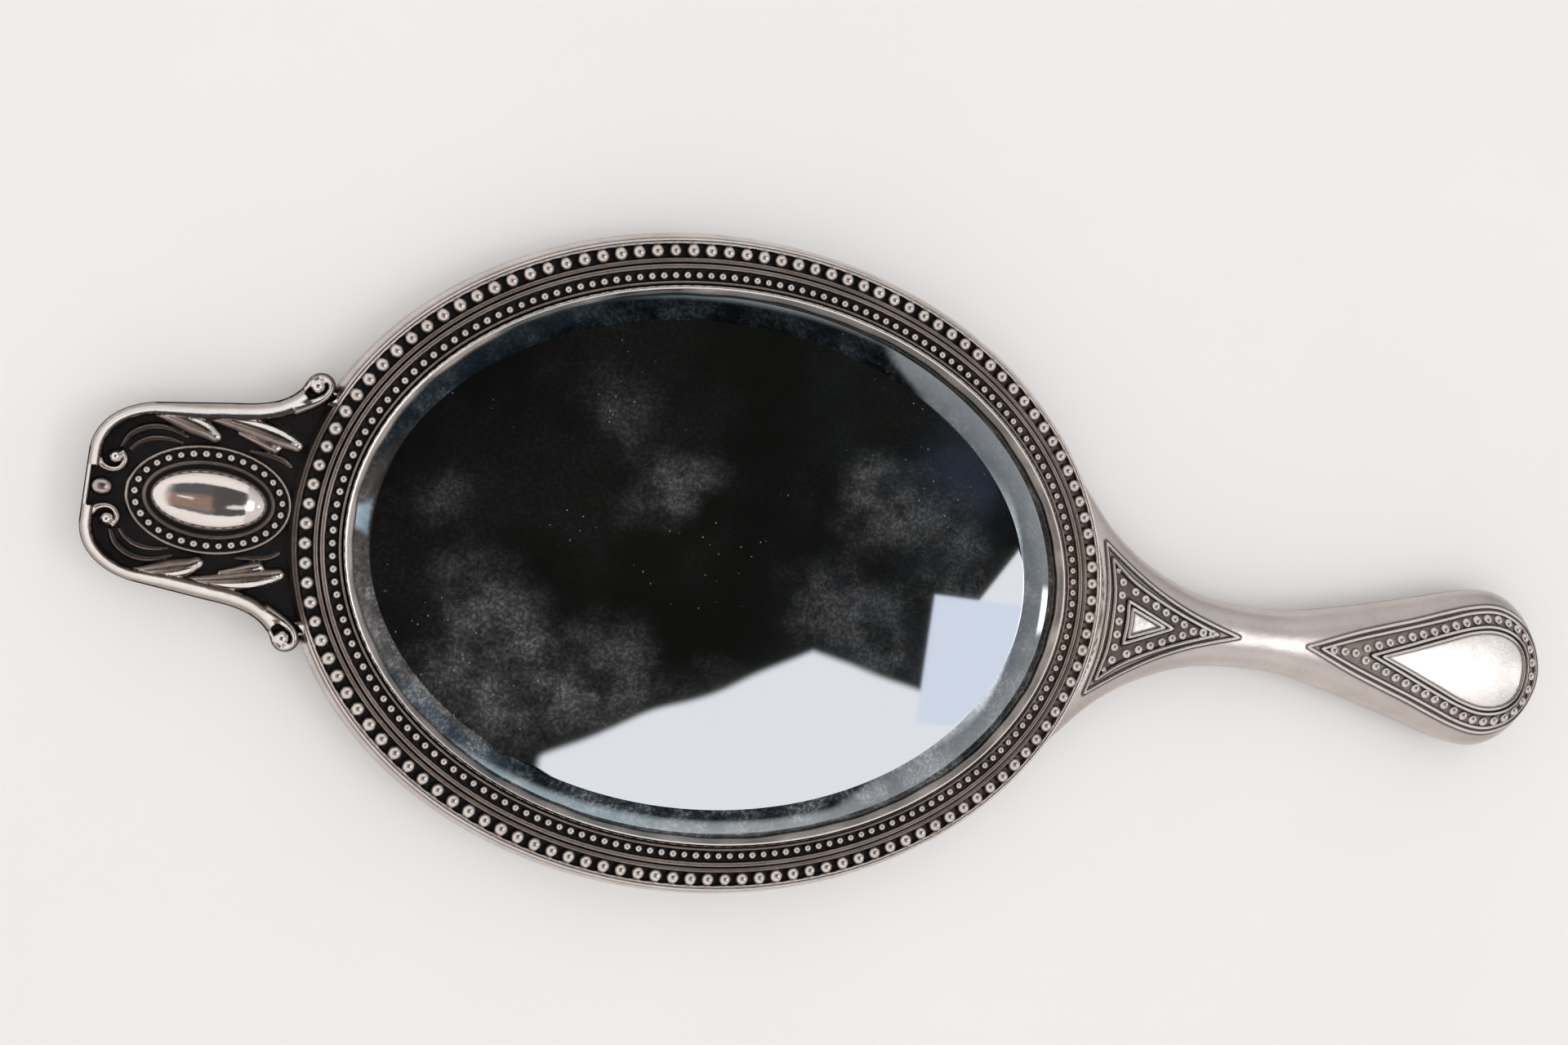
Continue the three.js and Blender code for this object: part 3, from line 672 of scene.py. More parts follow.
def handle_back():
    """The plain back half of the handle."""
    return skin(handle_half(*BACK_GRID, -1)[0], BACK_POLISH)


# ---------------- the crest

CREST_GROUND = 8.2  # height of the sunk ground
CREST_UNDERSIDE = 7.4
UNDERSIDE_SCALE = (0.985, 0.96)
UNDERSIDE_SHIFT = (-1.2, 0)
CREST_SIDE_POLISH = 0.75
CREST_BACK_POLISH = 0.7
CREST_STEPS = 760  # points round the crest
EDGE_STEPS = 40  # points in each part of its free edge
GRID_LOOPS = 58  # loops from the crest's outline in to its oval ridge
GRID_PASSES = 260  # rounds of smoothing that spread them
CREST_ROOT_OFFSET = 1.5  # the crest starts under the roll of the rim
CREST_ROOT_TURN = 19.5  # half of the angle over which it joins the rim
LOBE = (-70.7, 19.9)  # middle of the scroll end beside the rim
LOBE_RADIUS = 2.2
OVAL_RIDGE_A = 12.0
OVAL_RIDGE_B = 8.2
FIELD_START = 0.45  # the beaded oval's field starts this far outside its ridge
BORDER_TOP = 1.65  # height of the border's crown above the sunk ground
EDGE_DROP = 1.0  # the border rolls down this far below the sunk ground at its edge
CREST_BEAD_COUNT = 31
CREST_BEAD_INSET = 1.2
CREST_BEAD_RADIUS = 0.62
CREST_BEAD_LIFT = 0.1
CREST_BEAD_SEED = 12
BOSS_SINK = 0.1
BOSS_SIDES = 96
BOSS_RINGS = 26

# Raised work on the +Y half of the crest: [x, y, half width, height] along each stroke
CREST_LEAVES = [
    [[-95.2, 12.2, 0.5, 0.7], [-92.6, 12.1, 1.15, 1.3], [-90.4, 11.7, 1.6, 1.6], [-88.3, 11.1, 1.75, 1.7],
     [-86.5, 10.5, 1.5, 1.7], [-85.2, 9.8, 1.15, 1.5]],
    [[-87.0, 12.6, 0.5, 0.7], [-84.2, 12.5, 1.05, 1.2], [-81.6, 12.2, 1.5, 1.5], [-79.0, 11.7, 1.75, 1.7],
     [-76.4, 11.1, 1.75, 1.7], [-74.2, 10.5, 1.4, 1.6], [-73.1, 10.1, 1.15, 1.4]],
    [[-81.6, 10.9, 0.6, 1.1], [-79.2, 10.3, 0.95, 1.35], [-77.4, 9.7, 1.05, 1.45], [-76.2, 9.3, 0.95, 1.3]],
]
CREST_RIBS = [
    [[-98.1, 6.4, 0.4, 0.4], [-97.2, 8.2, 0.6, 0.65], [-95.5, 9.5, 0.65, 0.75], [-93.4, 10.1, 0.6, 0.75],
     [-91.1, 9.9, 0.5, 0.6], [-89.2, 9.2, 0.4, 0.4]],
    [[-96.8, 6.1, 0.35, 0.3], [-95.7, 7.3, 0.5, 0.5], [-93.9, 8.2, 0.55, 0.55], [-91.7, 8.4, 0.45, 0.45],
     [-89.8, 8.1, 0.3, 0.3]],
    [[-79.6, 8.3, 0.3, 0.3], [-77.2, 8.1, 0.55, 0.6], [-74.9, 7.6, 0.6, 0.6], [-73.6, 6.8, 0.45, 0.4]],
]
CREST_VOLUTES = [
    [[-101.3, 5.0, 0.8, 0.9], [-101.0, 3.9, 0.75, 1.4], [-100.3, 3.1, 0.65, 1.35], [-99.2, 2.75, 0.58, 1.3],
     [-98.2, 2.95, 0.55, 1.4], [-97.5, 3.7, 0.55, 1.5], [-97.3, 4.7, 0.5, 1.5], [-97.8, 5.6, 0.45, 1.4]],
    [[-74.0, 15.9, 1.2, 1.75], [-72.0, 16.9, 1.0, 1.75], [-70.4, 17.9, 0.8, 1.7], [-69.5, 19.0, 0.65, 1.65],
     [-69.3, 20.3, 0.6, 1.6], [-70.1, 21.2, 0.6, 1.5], [-71.2, 21.4, 0.55, 1.5], [-72.1, 20.7, 0.5, 1.4]],
]
# Each group of strokes, with the polish of its crowns
CREST_STROKES = ((CREST_LEAVES, 0.95), (CREST_RIBS, 0.45), (CREST_VOLUTES, 1.0))
# x, y, radius, height, squeeze across and polish of each ball, and of the bead at the tip
CREST_BALLS = [
    (-98.75, 4.75, 1.1, 1.9, 1.0, 0.95), (-71.3, 19.9, 1.3, 1.9, 1.0, 0.95),
    (-100.1, 0.0, 1.6, 1.35, 0.9, 0.68),
]
# [inset, height above the ground, polish] from the ground round the beaded oval in to the boss
OVAL_FIELD_PROFILE = [
    [-0.35, 0.15, 0.1], [-0.2, 0.45, 0.5], [0.0, 0.6, 0.7], [0.2, 0.5, 0.6], [0.4, 0.1, 0.1],
    [0.7, -0.1, 0.0], [1.3, -0.15, 0.0], [1.9, -0.1, 0.0], [2.2, 0.15, 0.1], [2.4, 0.45, 0.45],
    [2.6, 0.5, 0.5], [2.8, 0.35, 0.4], [3.0, 0.0, 0.05], [3.5, -0.2, 0.0], [4.6, -0.2, 0.0],
]
# [share of the outline, height] of the rings of the crest's back
CREST_BACK_RINGS = (
    (0.86, 2.4), (0.93, 2.45), (0.965, 2.7), (0.99, 3.3), (1.0, 4.2), (1.0, SEAM_Z - SEAM_GAP),
)


def bezier(start, first, second, end):
    t = np.linspace(0, 1, EDGE_STEPS)[:, None]
    corners = [np.array(point, float) for point in (start, first, second, end)]
    weights = [(1 - t)**3, 3 * t * (1 - t)**2, 3 * t**2 * (1 - t), t**3]
    return sum(weight * corner for weight, corner in zip(weights, corners))


def crest_edge():
    """The free edge of the crest, from one scroll end round the tip to the other."""
    end = CREST_END_X
    corner = bezier((end, 5), (end, 10), (-98.5, 13), (-94, 13.8))
    side = bezier((-83, 15.4), (-78, 15.9), (-74.9, 16.9), (LOBE[0] - 2.14, LOBE[1] + 0.3))
    turn = np.radians(np.linspace(165, -15, EDGE_STEPS))
    lobe = np.array(LOBE) + LOBE_RADIUS * np.stack([np.cos(turn), np.sin(turn)], -1)
    half = np.vstack([corner, side, lobe])
    return np.vstack([lower_half(half), half])


def crest_outline():
    """The crest's free edge, closed along the rim and evenly spaced."""
    rim_turn = np.radians(np.linspace(180 - CREST_ROOT_TURN, 180 + CREST_ROOT_TURN, 60))
    edge = crest_edge()
    closed = np.vstack([edge, oval_points(rim_turn, CREST_ROOT_OFFSET), edge[:1]])
    return spaced(closed, np.arange(CREST_STEPS) / CREST_STEPS)


def oval_ridge_points(turn, inset):
    a, b = OVAL_RIDGE_A - inset, OVAL_RIDGE_B - inset * 0.97
    return np.stack([BOSS_X + a * np.cos(turn), b * np.sin(turn)], -1)


def crest_grid(outline):
    """Loops that pass smoothly from the crest's outline to the oval ridge inside it."""
    turn = np.arctan2(outline[:, 1], outline[:, 0] - BOSS_X)
    turn = np.minimum.accumulate(np.unwrap(turn))
    spread = turn[0] + (turn[-1] - turn[0]) * np.linspace(0, 1, len(turn))
    inner = oval_ridge_points(0.75 * turn + 0.25 * spread, -FIELD_START)
    t = (np.arange(GRID_LOOPS) / (GRID_LOOPS - 1))[:, None, None]
    grid = outline[None] * (1 - t) + inner[None] * t
    for _ in range(GRID_PASSES):
        around = np.roll(grid, 1, axis=1) + np.roll(grid, -1, axis=1)
        grid[1:-1] = 0.25 * (around[1:-1] + grid[:-2] + grid[2:])
    return grid, inner


def path_distance(points, path):
    """Nearest place on a path of [x, y, half width, height] rows, as seen from each point.

    Gives the distance, the side of the path (positive to the left), the half width and the height.
    """
    best = np.full(len(points), np.inf)
    side, width, height = np.zeros((3, len(points)))
    for start, end in zip(path, path[1:]):
        share, distance = from_segment(points, start[:2], end[:2])
        here = distance < best
        best = np.where(here, distance, best)
        span, reach = end[:2] - start[:2], points - start[:2]
        side = np.where(here, np.sign(span[0] * reach[:, 1] - span[1] * reach[:, 0]), side)
        width = np.where(here, start[2] + (end[2] - start[2]) * share, width)
        height = np.where(here, start[3] + (end[3] - start[3]) * share, height)
    return best, side, np.maximum(width, 1e-6), height


def edge_depth(points, edge):
    """Distance from each point to the free edge of the crest."""
    return np.min([from_segment(points, start, end)[1] for start, end in zip(edge, edge[1:])], axis=0)


def dome(across):
    return np.sqrt(np.clip(1 - across**2, 0, 1))


def border_relief(half, depth):
    """The border slopes up from the free edge to its crown, then drops to the sunk ground."""
    in_lobe = np.hypot(half[:, 0] - LOBE[0], half[:, 1] - LOBE[1]) < LOBE_RADIUS + 0.5
    at_tip = (half[:, 0] < -99.5) & (half[:, 1] < 3.0)
    width = 1.7 + 0.75 * smoothstep(-96, -86, half[:, 0])
    width = np.where(in_lobe, 0.6, np.where(at_tip, 0.7, width))
    crown = np.where(in_lobe, 1.0, np.where(at_tip, 0.7, BORDER_TOP))
    across = depth / width
    outer = dome(1 - np.minimum(across, 1))
    inner = 1 - smoothstep(width, width + 0.35, depth)
    height = np.where(across < 1, (crown + EDGE_DROP) * outer - EDGE_DROP, crown * inner)
    # Painted highlight: a bright band along the middle of the outer slope; painted shade darkens the crown,
    # and the inner side darkens down to the blackened ground.
    polish = 0.62 + 0.34 * smoothstep(0.25, 0.45, across) - 0.6 * smoothstep(0.75, 1.0, across)
    return height, np.clip(np.where(across < 1, polish, 0.4 * inner), 0, 1)


def stroke_relief(half, path, shine):
    """Height and polish of one rounded stroke, with a painted highlight on its outer side and painted shade
    on its inner side.
    """
    path = curve_points(np.array(path, float), 30)
    distance, side, half_width, tall = path_distance(half, path)
    across = distance / half_width
    height = tall * (0.45 * smoothstep(1.0, 0.8, across) + 0.55 * (1 - np.minimum(across, 1)**2))
    # Painted highlight on the stroke's outer flank, painted shade on its inner flank.
    painted_flank_light = smoothstep(-0.8, 0.2, side * across)
    polish = shine * (0.35 + 0.65 * painted_flank_light) * smoothstep(1.02, 0.9, across)
    return height, polish


def ball_relief(half, x, y, radius, height, squeeze, shine):
    """Height and polish of a round ball, or of one that is squeezed across."""
    reach = np.hypot(half[:, 0] - x, (half[:, 1] - y) / squeeze) / radius
    swell = dome(np.minimum(reach, 1))
    return height * swell, shine * smoothstep(0.1, 0.7, swell)


def crest_relief(points, depth):
    """Height above the sunk ground, and polish, of the raised work round the crest's oval."""
    half = np.stack([points[:, 0], np.abs(points[:, 1])], -1)
    height, polish = border_relief(half, depth)
    reliefs = [stroke_relief(half, path, shine) for paths, shine in CREST_STROKES for path in paths]
    reliefs += [ball_relief(half, *ball) for ball in CREST_BALLS]
    for raised, lit in reliefs:
        polish = np.where(raised > height, lit, polish)
        height = np.maximum(height, raised)
    return height, polish


def crest_front():
    """The stamped crest: border, leaves and scrolls, and the beaded oval round the boss."""
    outline = crest_outline()
    grid, inner = crest_grid(outline)
    flat = grid.reshape(-1, 2)
    height, polish = crest_relief(flat, edge_depth(flat, crest_edge()[::2]))
    top = at_height(flat, CREST_GROUND + height).reshape(len(grid), -1, 3)
    underside = outline * UNDERSIDE_SCALE + UNDERSIDE_SHIFT
    seam = SEAM_Z + SEAM_GAP
    loops = [at_height(underside, CREST_UNDERSIDE), at_height(underside, seam)]
    shines = [HIDDEN_POLISH, HIDDEN_POLISH]
    for z in (seam, 6.4, 6.8):
        loops.append(at_height(outline, np.minimum(z, top[0, :, 2])))
        shines.append(CREST_SIDE_POLISH)
    loops += list(top)
    shines += list(polish.reshape(len(grid), -1))
    turn = np.arctan2(inner[:, 1] / (OVAL_RIDGE_B + FIELD_START),
                      (inner[:, 0] - BOSS_X) / (OVAL_RIDGE_A + FIELD_START))
    for inset, lift, shine in OVAL_FIELD_PROFILE:
        loops.append(at_height(oval_ridge_points(turn, inset), CREST_GROUND + lift))
        shines.append(shine)
    polish = np.array([np.broadcast_to(shine, CREST_STEPS) for shine in shines])
    return skin(np.array(loops)[:, ::-1], polish[:, ::-1])


def crest_beads():
    random = np.random.default_rng(CREST_BEAD_SEED)
    fine = np.linspace(0, 2 * math.pi, 2001)
    length = distance_along(oval_ridge_points(fine, CREST_BEAD_INSET))
    places = (np.arange(CREST_BEAD_COUNT) + 0.5) / CREST_BEAD_COUNT * length[-1]
    beads = []
    for x, y in oval_ridge_points(np.interp(places, length, fine), CREST_BEAD_INSET):
        size = CREST_BEAD_RADIUS * random.uniform(0.93, 1.05)
        beads.append(bead((x, y, CREST_GROUND + CREST_BEAD_LIFT), (size, size, size)))
    return merged(beads)


def crest_boss():
    """The polished oval dome."""
    latitude = np.radians(np.linspace(0, 88, BOSS_RINGS))[:, None]
    turn = angles_round(BOSS_SIDES)
    x = BOSS_X + BOSS_A * np.cos(latitude) * np.cos(turn)
    y = BOSS_B * np.cos(latitude) * np.sin(turn)
    z = CREST_GROUND - BOSS_SINK + BOSS_HEIGHT * np.sin(latitude)
    return skin(points_of(x, y, z), 1.0)


def crest_back():
    """The plain back of the crest with a rounded edge."""
    outline = crest_outline()
    middle = np.array([BOSS_X, 0])
    rings = [at_height(middle + (outline - middle) * share, z) for share, z in CREST_BACK_RINGS]
    return skin(np.array(rings)[:, ::-1], CREST_BACK_POLISH)


# ---------------- materials

# [polish, colour] of silver from a blackened recess up to where it is bright
SILVER_TONES = [
    (0.0, (0.010, 0.009, 0.010)), (0.18, (0.022, 0.018, 0.017)), (0.4, (0.16, 0.128, 0.112)),
    (0.62, (0.42, 0.36, 0.33)), (0.82, (0.70, 0.64, 0.61)), (1.0, (0.90, 0.87, 0.84)),
]
TARNISH = (0.60, 0.36, 0.27)
# Scale of each noise on the silver
BLOTCH_SCALE = 110
SPECK_SCALE = 900
SCRATCH_SCALE = 2600
GRAIN_SCALE = 1500
DENT_SCALE = 240
SCRATCH_STRETCH = (0.25, 1.6, 1.0)
SCRATCH_TURN = (0, 0, 0.35)
SMOOTHEST = 0.06  # no silver is smoother than this

GLASS_TINT = (0.88, 0.90, 0.92)
PAINTED_BEVEL_COOL = ((0.10, 0.16, 0.20), (0.28, 0.36, 0.41))  # painted reflection colour of the bevel beside the crest: at the arris and at the edge
PAINTED_BEVEL_WARM = ((0.13, 0.15, 0.17), (0.31, 0.34, 0.35))  # painted reflection colour of the bevel over the rest
DUST = (0.66, 0.69, 0.74)
# Smears on the glass: x, y, radius in millimetres, and strength
SMEARS = [
    (-13, 12, 9, 0.9), (-6, 15, 6, 0.4), (24, 15, 10, 0.7), (-49, 5, 6, 0.4), (-36, -21, 15, 0.9),
    (-19, -21, 13, 0.8), (-42, -9, 10, 0.4), (37, 10, 14, 0.45), (46, 3, 10, 0.45), (18, -5, 12, 0.5),
    (30, -9, 11, 0.6), (2, -26, 12, 0.4), (-24, 24, 8, 0.25),
]
SMEAR_DRIFT = 0.014  # how far, in metres, a noise pushes the outlines of the smears about


class Nodes:
    """Short names for building a node tree; most give the socket of their result."""

    def __init__(self, tree):
        self.tree = tree

    def put(self, socket, value):
        """Link another socket to this one, or set its value; colours come without their alpha."""
        if isinstance(value, bpy.types.NodeSocket):
            self.tree.links.new(value, socket)
        else:
            socket.default_value = (*value, 1) if socket.type == "RGBA" else value

    def add(self, kind, **inputs):
        node = self.tree.nodes.new(kind)
        for name, value in inputs.items():
            self.put(node.inputs[name.replace("_", " ")], value)
        return node

    def polish(self):
        node = self.add("ShaderNodeAttribute")
        node.attribute_name = "polish"
        return node.outputs["Fac"]

    def noise(self, vector, scale, detail=4, roughness=0.55, output="Fac"):
        node = self.add("ShaderNodeTexNoise", Vector=vector, Scale=scale, Detail=detail, Roughness=roughness)
        return node.outputs[output]

    def math(self, operation, first, second, kind="ShaderNodeMath", output=0):
        node = self.add(kind)
        node.operation = operation
        self.put(node.inputs[0], first)
        self.put(node.inputs[1], second)
        return node.outputs[output]

    def plus(self, first, second):
        return self.math("ADD", first, second)

    def minus(self, first, second):
        return self.math("SUBTRACT", first, second)

    def times(self, first, second):
        return self.math("MULTIPLY", first, second)

    def vector_math(self, operation, first, second, output="Vector"):
        return self.math(operation, first, second, "ShaderNodeVectorMath", output)

    def spread(self, value, low, high, to_low=0.0, to_high=1.0, smooth=True):
        """to_low to to_high as the value goes from low to high, and no further."""
        node = self.add("ShaderNodeMapRange", Value=value, From_Min=low, From_Max=high,
                        To_Min=to_low, To_Max=to_high)
        node.interpolation_type = "SMOOTHSTEP" if smooth else "LINEAR"
        return node.outputs["Result"]

    def clamped(self, value):
        return self.spread(value, 0, 1, smooth=False)

    def between(self, value, low, high, soft):
        """1 from low to high, 0 outside them."""
        rise = self.spread(value, low - soft, low + soft)
        return self.times(rise, self.spread(value, high + soft, high - soft))

    def ramp(self, value, stops):
        node = self.add("ShaderNodeValToRGB", Fac=value)
        elements = node.color_ramp.elements
        while len(elements) < len(stops):
            elements.new(0.5)
        for element, (position, colour) in zip(elements, stops):
            element.position = position
            element.color = (*colour, 1)
        return node.outputs["Color"]

    def mix(self, factor, first, second):
        node = self.add("ShaderNodeMix")
        node.data_type = "RGBA"
        colours = [socket for socket in node.inputs if socket.type == "RGBA"]
        for socket, value in zip((node.inputs["Factor"], *colours), (factor, first, second)):
            self.put(socket, value)
        return next(socket for socket in node.outputs if socket.type == "RGBA")

    def bump(self, height, strength, distance, **normal):
        node = self.add("ShaderNodeBump", Height=height, Strength=strength, Distance=distance, **normal)
        return node.outputs["Normal"]


def new_material(name):
    material = bpy.data.materials.new(name)
    material.use_nodes = True
    nodes = Nodes(material.node_tree)
    place = nodes.add("ShaderNodeTexCoord").outputs["Object"]
    return material, nodes, place


def set_surface(material, nodes, **inputs):
    """Values or sockets for the inputs of a material's shader."""
    shader = material.node_tree.nodes["Principled BSDF"]
    for name, value in inputs.items():
        nodes.put(shader.inputs[name.replace("_", " ")], value)
    return material


def silver(name, blotch, base_roughness=0.2, scratch=0.5, tarnish=0.0):
    """Old silver: bright where hands and cloth reach it, brown and then black in the recesses."""
    material, nodes, place = new_material(name)
    cloud = nodes.minus(nodes.noise(place, BLOTCH_SCALE, 5, 0.6), 0.5)
    speck = nodes.minus(nodes.noise(place, SPECK_SCALE, 3, 0.6), 0.5)
    worn = nodes.plus(nodes.polish(), nodes.times(cloud, blotch * 2))
    worn = nodes.clamped(nodes.plus(worn, nodes.times(speck, blotch)))
    tone = nodes.mix(tarnish, nodes.ramp(worn, SILVER_TONES), TARNISH)
    streaks = nodes.add("ShaderNodeMapping", Vector=place, Scale=SCRATCH_STRETCH, Rotation=SCRATCH_TURN)
    fine = nodes.minus(nodes.noise(streaks.outputs[0], SCRATCH_SCALE, 2, 0.5), 0.5)
    rough = nodes.spread(worn, 0.1, 0.95, base_roughness + 0.32, base_roughness, smooth=False)
    rough = nodes.plus(rough, nodes.times(fine, 0.22 * scratch))
    grain = nodes.bump(nodes.noise(place, GRAIN_SCALE, 4, 0.6), 0.12 * scratch, 0.0004)
    return set_surface(
        material, nodes, Base_Color=tone, Metallic=nodes.spread(worn, 0.02, 0.3, 0.55, 1.0 - tarnish / 2),
        Roughness=nodes.math("MAXIMUM", rough, SMOOTHEST),
        Normal=nodes.bump(nodes.noise(place, DENT_SCALE, 2, 0.5), 0.10, 0.0008, Normal=grain),
    )


def mirror_glass_material():
    """Silvered plate glass, seen as a dark mirror under a film of dust, smears and specks; its bevel carries
    a painted reflection.
    """
    material, nodes, place = new_material("old_mirror_glass")
    x, y, _ = nodes.add("ShaderNodeSeparateXYZ", Vector=place).outputs
    face = nodes.polish()
    # Painted reflection: the bevel is darker and bluer than the flat, bluest beside the crest and paler
    # towards the plate's edge.
    bevel = nodes.spread(face, 0.9, 0.6)
    near_edge = nodes.spread(face, 0.5, 0.0, smooth=False)
    cool = nodes.mix(near_edge, *PAINTED_BEVEL_COOL)
    warm = nodes.mix(near_edge, *PAINTED_BEVEL_WARM)
    tint = nodes.mix(bevel, GLASS_TINT, nodes.mix(nodes.spread(x, -0.02, -0.06), warm, cool))

    drift = nodes.noise(place, 45, 4, 0.5, "Color")
    drift = nodes.vector_math("MULTIPLY", drift, (SMEAR_DRIFT, SMEAR_DRIFT, SMEAR_DRIFT))
    warped = nodes.vector_math("ADD", place, drift)
    smeared = nodes.times(bevel, nodes.spread(y, 0.045, -0.045, 0.75, 3.2))
    for smear_x, smear_y, radius, strength in SMEARS:
        middle = metres((smear_x, smear_y, GLASS_TOP)) + SMEAR_DRIFT / 2
        reach = nodes.vector_math("DISTANCE", warped, tuple(middle), "Value")
        patch = nodes.spread(reach, radius * MM * 1.15, radius * MM * 0.15, 0.0, strength)
        smeared = nodes.plus(smeared, patch)
    cloud = nodes.spread(nodes.noise(place, 120, 6, 0.65), 0.38, 0.68, 0.15, 1.0)
    grit = nodes.spread(nodes.noise(place, 1500, 3, 0.7), 0.42, 0.66, 0.35, 1.0)
    haze = nodes.times(nodes.times(smeared, cloud), grit)
    veil = nodes.times(nodes.spread(nodes.noise(place, 30, 5, 0.6), 0.4, 0.75), grit)
    specks = nodes.add("ShaderNodeTexVoronoi", Vector=place, Scale=560)
    speck = nodes.spread(specks.outputs["Distance"], 0.1, 0.05)
    speck = nodes.times(speck, nodes.spread(nodes.noise(place, 55, 3, 0.5), 0.52, 0.64))
    film = nodes.plus(nodes.times(haze, 0.2), nodes.times(veil, 0.012))
    film = nodes.plus(film, nodes.times(speck, 0.25))
    film = nodes.clamped(nodes.plus(film, 0.002))
    return set_surface(
        material, nodes, Base_Color=nodes.mix(film, tint, DUST), Metallic=nodes.minus(1.0, film),
        Roughness=0.02,
    )


def plain_material(name, tones, scale, roughness, metallic, stretch=(1, 1, 1)):
    """A two-tone mottled material for the pieces inside the mirror."""
    material, nodes, place = new_material(name)
    mapping = nodes.add("ShaderNodeMapping", Vector=place, Scale=stretch)
    pattern = nodes.noise(mapping.outputs[0], scale, 6, 0.6)
    return set_surface(
        material, nodes, Base_Color=nodes.ramp(pattern, [(0.3, tones[0]), (0.7, tones[1])]),
        Roughness=nodes.spread(pattern, 0.3, 0.7, roughness, roughness - 0.15), Metallic=metallic,
        Normal=nodes.bump(pattern, 0.3, 0.0003),
    )


# ---------------- the mirror

WOOD_GRAIN = (0.15, 1, 1)
# Hidden CAD pieces: material name, two tones, scale of the mottling, roughness, metallic and stretch
HIDDEN_LOOKS = {
    "silver_coating": ("silvering", [(0.55, 0.55, 0.57), (0.75, 0.75, 0.77)], 300, 0.3, 1.0),
    "backing_card": ("grey_card", [(0.20, 0.17, 0.13), (0.30, 0.26, 0.20)], 900, 0.95, 0.0),
    "felt_pad": ("wine_felt", [(0.045, 0.010, 0.016), (0.08, 0.018, 0.028)], 1400, 1.0, 0.0),
    "head_core": ("plain_board", [(0.24, 0.14, 0.065), (0.40, 0.26, 0.14)], 60, 0.8, 0.0, WOOD_GRAIN),
    "handle_tang": ("forged_iron", [(0.05, 0.045, 0.04), (0.12, 0.10, 0.09)], 400, 0.65, 1.0),
    "tang_screw_1": ("screw_iron", [(0.07, 0.065, 0.06), (0.16, 0.14, 0.13)], 700, 0.5, 1.0),
    "rim_filler": ("black_pitch", [(0.008, 0.006, 0.005), (0.022, 0.017, 0.014)], 500, 0.85, 0.0),
}
SHARED_LOOKS = {"tang_screw_2": "tang_screw_1", "crest_filler": "rim_filler", "handle_filler": "rim_filler"}

rim_silver = silver("rim_silver", blotch=0.14)
bead_silver = silver("bead_silver", blotch=0.12, base_roughness=0.28)
crest_silver = silver("crest_silver", blotch=0.14, base_roughness=0.17)
handle_silver = silver("handle_silver", blotch=0.07, base_roughness=0.27, scratch=0.6)
bright_silver = silver("bright_silver", blotch=0.06, base_roughness=0.1)
boss_silver = silver("boss_silver", blotch=0.1, base_roughness=0.09, scratch=0.25, tarnish=0.2)
back_silver = silver("back_silver", blotch=0.1)
old_mirror = mirror_glass_material()

make_piece("rim_front", rim_front(), rim_silver, "front_shell")
make_piece("crest_front", crest_front(), crest_silver, "front_shell", crease=60)
make_piece("handle_front", handle_front(), handle_silver, "front_shell")
make_piece("handle_ridges", handle_ridges(), handle_silver, "front_shell")
make_piece("glass_bezel_ring", bezel_ring(), bright_silver, "glass_bezel")
make_piece("large_beads", rim_beads(*LARGE_BEADS), bead_silver, "outer_bead_border")
make_piece("small_beads", rim_beads(*SMALL_BEADS), bead_silver, "inner_bead_border")
make_piece("crest_beads", crest_beads(), bead_silver, "crest_bead_border")
make_piece("neck_beads", neck_beads(), bead_silver, "neck_bead_border")
make_piece("grip_beads", grip_beads(), bead_silver, "grip_bead_border")
make_piece("crest_dome", crest_boss(), boss_silver, "crest_boss")
make_piece("bevelled_glass", bevelled_plate(), old_mirror, "mirror_glass", crease=5)
make_piece("head_back", head_back(), back_silver, "back_shell")
make_piece("crest_back", crest_back(), back_silver, "back_shell")
make_piece("handle_back", handle_back(), handle_silver, "back_shell")
make_piece("back_beads", rim_beads(*BACK_BEADS, down=True), bead_silver, "back_bead_border")

hidden_materials = {node: plain_material(*look) for node, look in HIDDEN_LOOKS.items()}
hidden_materials.update({node: hidden_materials[source] for node, source in SHARED_LOOKS.items()})
for node, material in hidden_materials.items():
    cad_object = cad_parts[node]
    cad_object.data.materials.clear()
    cad_object.data.materials.append(material)

# ---------------- floor, light and camera

FLOOR_RADIUS = 1.6
FLOOR_SIDES = 180
FLOOR_Z = -0.0001
FLOOR_TONES = [(0.3, (0.9, 0.9, 0.9)), (0.7, (0.93, 0.93, 0.93))]

# A place in the surroundings is given by its slopes from straight up, along X and across Y, or by its
# tilt about X in degrees. A range is its low end, its high end and its softness.
OPENING_TILT = (-36, 37, 2.5)
DARK_TONES = [(0.35, (0.0010, 0.0012, 0.0010)), (0.65, (0.0050, 0.0052, 0.0042))]
DARK_BLUE = (0.020, 0.028, 0.045)
BROWN_TONES = [(0.35, (0.16, 0.09, 0.06)), (0.65, (0.32, 0.20, 0.15))]
BROWN_TILT = (-26, 26, 5)
BROWN_SIDES = (0.09, 0.10, 0.11)
SLATE = (0.022, 0.030, 0.038)
PALE_END = (0.30, 0.29, 0.28)
CLOTH = (0.82, 0.83, 0.86)
